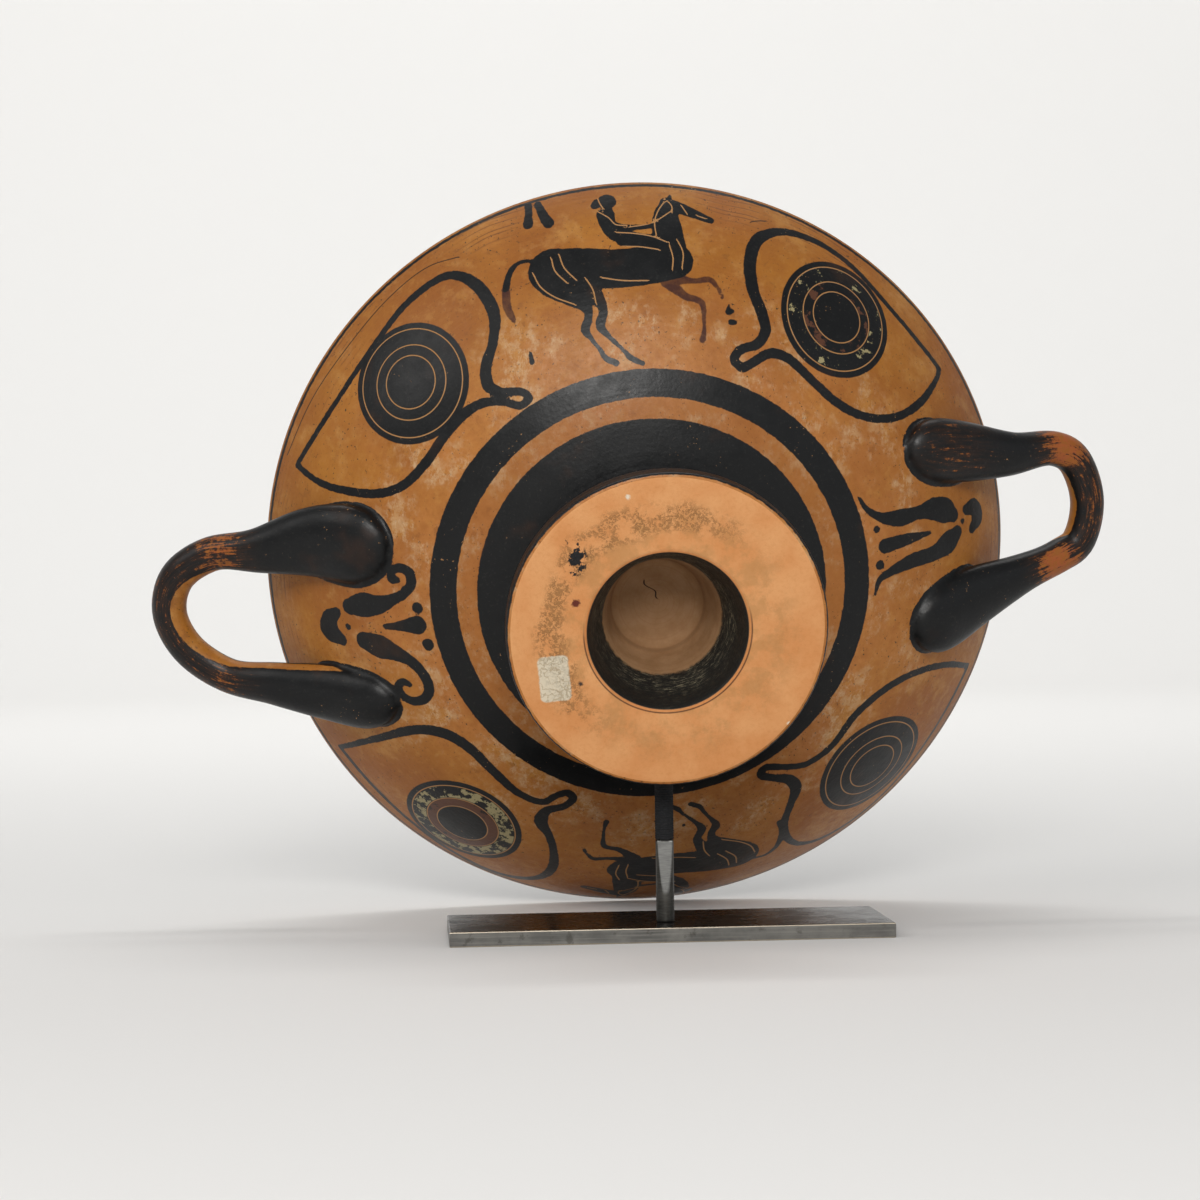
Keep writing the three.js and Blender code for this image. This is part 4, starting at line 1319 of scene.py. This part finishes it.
def plate_steel():
    """The plate's waxed steel: its top painted near black, a painted dark reflection, and its front
    painted lighter under drawn lines, a painted lit face, with painted highlights along its arrises."""
    f = Finish("plate steel")
    low, high = (np.array(corner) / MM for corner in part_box("base_plate"))
    _, back, up = f.split(f.place)
    clouds = f.noise(15, 4, 0.65)
    # The top's near-black colour is a painted dark reflection on the steel.
    colour = f.mix(f.step(clouds, 0.3, 0.7), (0.0055, 0.0055, 0.0055), (0.010, 0.0095, 0.009))
    lines = f.noise(1.0, 4, 0.7, f.stretched(f.place, 0.03, 1.6, 1.6))
    scratch = f.step(f.noise(1.0, 2, 0.5, f.stretched(f.place, 0.15, 6.0, 6.0)), 0.66, 0.7)
    colour = f.mix(f.times(scratch, 0.25), colour, (0.12, 0.11, 0.10))
    dust = f.step(f.noise(2.2, 5, 0.75), 0.6, 0.75, 0.0, 0.03)
    colour = f.mix(dust, colour, (0.30, 0.28, 0.24))
    # The front face is painted lighter than the top: a painted lit face of the same steel, with drawn
    # lines and stains.
    front = f.step(back, low[1] + 0.15, low[1] + 0.4, 1.0, 0.0)
    bare = f.mix(f.step(clouds, 0.35, 0.7), (0.12, 0.118, 0.11), (0.19, 0.185, 0.17))
    bare = f.mix(f.step(lines, 0.42, 0.75, 0.0, 0.6), bare, (0.28, 0.27, 0.245))
    stain = f.step(f.noise(4.5, 5, 0.7), 0.56, 0.68, 0.0, 0.6)
    bare = f.mix(stain, bare, (0.07, 0.065, 0.055))
    # Painted highlights along the front's lower and upper arrises.
    arris = f.larger(f.step(up, low[2] + 0.15, low[2] + 0.55, 1.0, 0.0),
                   f.step(up, high[2] - 0.5, high[2] - 0.15))
    bare = f.mix(f.times(arris, 0.75), bare, (0.66, 0.56, 0.42))
    colour = f.mix(front, colour, bare)
    f.feed(f.shader.inputs["Metallic"], f.times(front, 0.7))
    roughness = f.plus(f.step(lines, 0.4, 0.8, 0.0, 0.10),
                       f.plus(f.step(clouds, 0.3, 0.7, 0.20, 0.30), f.times(front, 0.22)))
    f.bump(f.plus(f.times(lines, 0.03), f.times(clouds, 0.05)))
    return f.done(colour, roughness, Specular_IOR_Level=0.22)


def ground_rod():
    """The post's steel: dark and brushed across, with its ground front facet painted lighter, a painted
    lit face, and painted shade just above the plate.
    """
    f = Finish("ground steel rod")
    _, back, high = f.split(f.place)
    surface_front = f.plus(POST_Y - POST_RADIUS - 0.25,
                           f.times(f.step_line(high, FLAT_FROM, BARE_TOP), FLAT_DEPTH))
    # The ground facet is painted lighter than the rod's round sides: a painted lit face.
    lit_facet = f.times(f.step(f.minus(back, surface_front), 0.36, 0.5, 1.0, 0.0),
                   f.step(high, FLAT_FROM, FLAT_FROM + 1.5))
    lines = f.noise(1.0, 4, 0.7, f.stretched(f.place, 0.25, 0.25, 2.2))
    clouds = f.noise(8, 4, 0.65)
    colour = f.mix(f.step(clouds, 0.3, 0.7), (0.045, 0.043, 0.038), (0.085, 0.082, 0.074))
    colour = f.mix(f.step(lines, 0.45, 0.7, 0.0, 0.5), colour, (0.14, 0.135, 0.122))
    colour = f.mix(lit_facet, colour, f.mix(f.step(lines, 0.3, 0.7), (0.125, 0.125, 0.12), (0.20, 0.20, 0.19)))
    # Darker just above the plate: painted shade where the rod meets it.
    shade_above_plate = f.step(high, PLATE_TOP + 2.4, PLATE_TOP, 0.0, 0.6)
    colour = f.mix(shade_above_plate, colour, (0.03, 0.028, 0.024))
    f.feed(f.shader.inputs["Metallic"], 0.9)
    roughness = f.plus(f.step(lines, 0.3, 0.8, 0.36, 0.5), f.step(clouds, 0.3, 0.7, -0.04, 0.06))
    f.bump(f.plus(f.times(lines, 0.05), f.times(clouds, 0.05)))
    return f.done(colour, roughness)


def black_thread():
    """Black thread: matt, with fine fibres and a few pale bits of fluff."""
    f = Finish("black thread")
    fibres = f.noise(0.35, 4, 0.8)
    lumps = f.noise(2.4, 3, 0.6)
    colour = f.mix(f.step(fibres, 0.35, 0.75), (0.006, 0.0065, 0.007), (0.022, 0.022, 0.024))
    colour = f.mix(f.step(lumps, 0.5, 0.75, 0.0, 0.5), colour, (0.032, 0.030, 0.030))
    fluff = f.step(f.noise(0.6, 3, 0.7), 0.68, 0.74, 0.0, 0.35)
    colour = f.mix(fluff, colour, (0.11, 0.10, 0.09))
    f.bump(f.plus(f.times(fibres, 0.10), f.times(lumps, 0.08)))
    return f.done(colour, f.step(lumps, 0.3, 0.7, 0.78, 0.92), Specular_IOR_Level=0.25)


# =============================== the studio ===============================

def make_sweep():
    """A pale round sweep: a flat floor whose far edge curves up into a wall behind the cup."""
    turn = np.linspace(0, np.pi / 2, 25)
    radius = np.concatenate([[0.001, 0.6, 1.4, 2.4], 2.6 + 1.2 * np.sin(turn), [3.8]])
    height = np.concatenate([[0, 0, 0, 0], 1.2 * (1 - np.cos(turn)), [4.2]])
    angle = np.linspace(0, 2 * np.pi, 96, endpoint=False)
    rings = np.stack([np.outer(radius, np.cos(angle)), np.outer(radius, np.sin(angle)),
                      np.outer(height, smoothstep(-0.35, 0.35, np.sin(angle)))], 2)
    index = np.arange(rings.shape[0] * 96).reshape(-1, 96)
    near, far = index[:-1], index[1:]
    faces = np.stack([near, far, np.roll(far, -1, 1), np.roll(near, -1, 1)], 2).reshape(-1, 4)
    mesh = bpy.data.meshes.new("sweep")
    mesh.from_pydata(rings.reshape(-1, 3).tolist(), [], faces.tolist())
    mesh.shade_smooth()
    sweep = placed("sweep", mesh)
    paper = Finish("pale paper")
    mesh.materials.append(paper.done((0.78, 0.775, 0.765), 0.9, Specular_IOR_Level=0.1))


def make_light(name, place, aim, size, power, colour):
    """A soft square lamp at place, facing aim."""
    lamp = bpy.data.lights.new(name, "AREA")
    lamp.shape = "RECTANGLE"
    lamp.size, lamp.size_y = size
    lamp.energy = power
    lamp.color = colour
    light = placed(name, lamp)
    light.location = place
    light.rotation_euler = (Vector(aim) - Vector(place)).to_track_quat("-Z", "Y").to_euler()


CAMERA_PLACE = (-96.2, -939.7, 125.4)
CAMERA_TURN, CAMERA_LEAN, CAMERA_TILT = np.radians(4.4), np.radians(0.7), 0.00092


def make_camera():
    """A long lens a little left of the post, level, almost square on to the plate's front."""
    turn, lean, tilt = CAMERA_TURN, CAMERA_LEAN, CAMERA_TILT
    level = np.array([np.sin(turn), np.cos(turn), 0.0])
    beside = np.array([np.cos(turn), -np.sin(turn), 0.0])
    above = np.array([0.0, 0.0, 1.0])
    right = np.cos(lean) * beside - np.sin(lean) * above
    up = np.sin(lean) * beside + np.cos(lean) * above
    forward = np.cos(tilt) * level + np.sin(tilt) * up
    up = np.cross(right, forward)
    lens = bpy.data.cameras.new("view")
    lens.lens, lens.sensor_width = 75.0, 36.0
    lens.clip_start, lens.clip_end = 0.05, 20.0
    camera = placed("view", lens)
    turned = Matrix((right, up, -forward)).transposed().to_4x4()
    camera.matrix_world = Matrix.Translation(Vector(CAMERA_PLACE) * MM) @ turned
    bpy.context.scene.camera = camera


def make_studio():
    """The sweep, a large key lamp from above the front, two weaker ones, and a lit wall."""
    make_sweep()
    middle = (0.0, 0.0, 0.15)
    make_light("key", (-0.16, -1.55, 0.80), middle, (0.62, 0.5), 17, (1.0, 0.98, 0.95))
    make_light("side", (-1.6, -0.9, 1.3), middle, (1.0, 1.0), 9, (1.0, 0.97, 0.94))
    make_light("fill", (1.7, -1.5, 0.7), middle, (1.6, 1.4), 3, (0.95, 0.97, 1.0))
    make_light("wall", (0.0, 0.9, 2.7), (0.0, 3.6, 0.9), (2.4, 0.8), 75, (1.0, 0.99, 0.97))
    world = bpy.data.worlds.new("studio")
    world.use_nodes = True
    world.node_tree.nodes["Background"].inputs["Color"].default_value = (0.95, 0.97, 1.0, 1.0)
    world.node_tree.nodes["Background"].inputs["Strength"].default_value = 0.30
    bpy.context.scene.world = world
    bpy.context.scene.view_settings.view_transform = "Standard"


# =============================== all of it ===============================

make_cup([painted_clay(), foot_clay()])
make_post(ground_rod())
make_binding(black_thread())
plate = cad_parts["base_plate"]
plate_metal = plate_steel()
for index in range(len(plate.data.materials)):
    plate.data.materials[index] = plate_metal
make_studio()
make_camera()
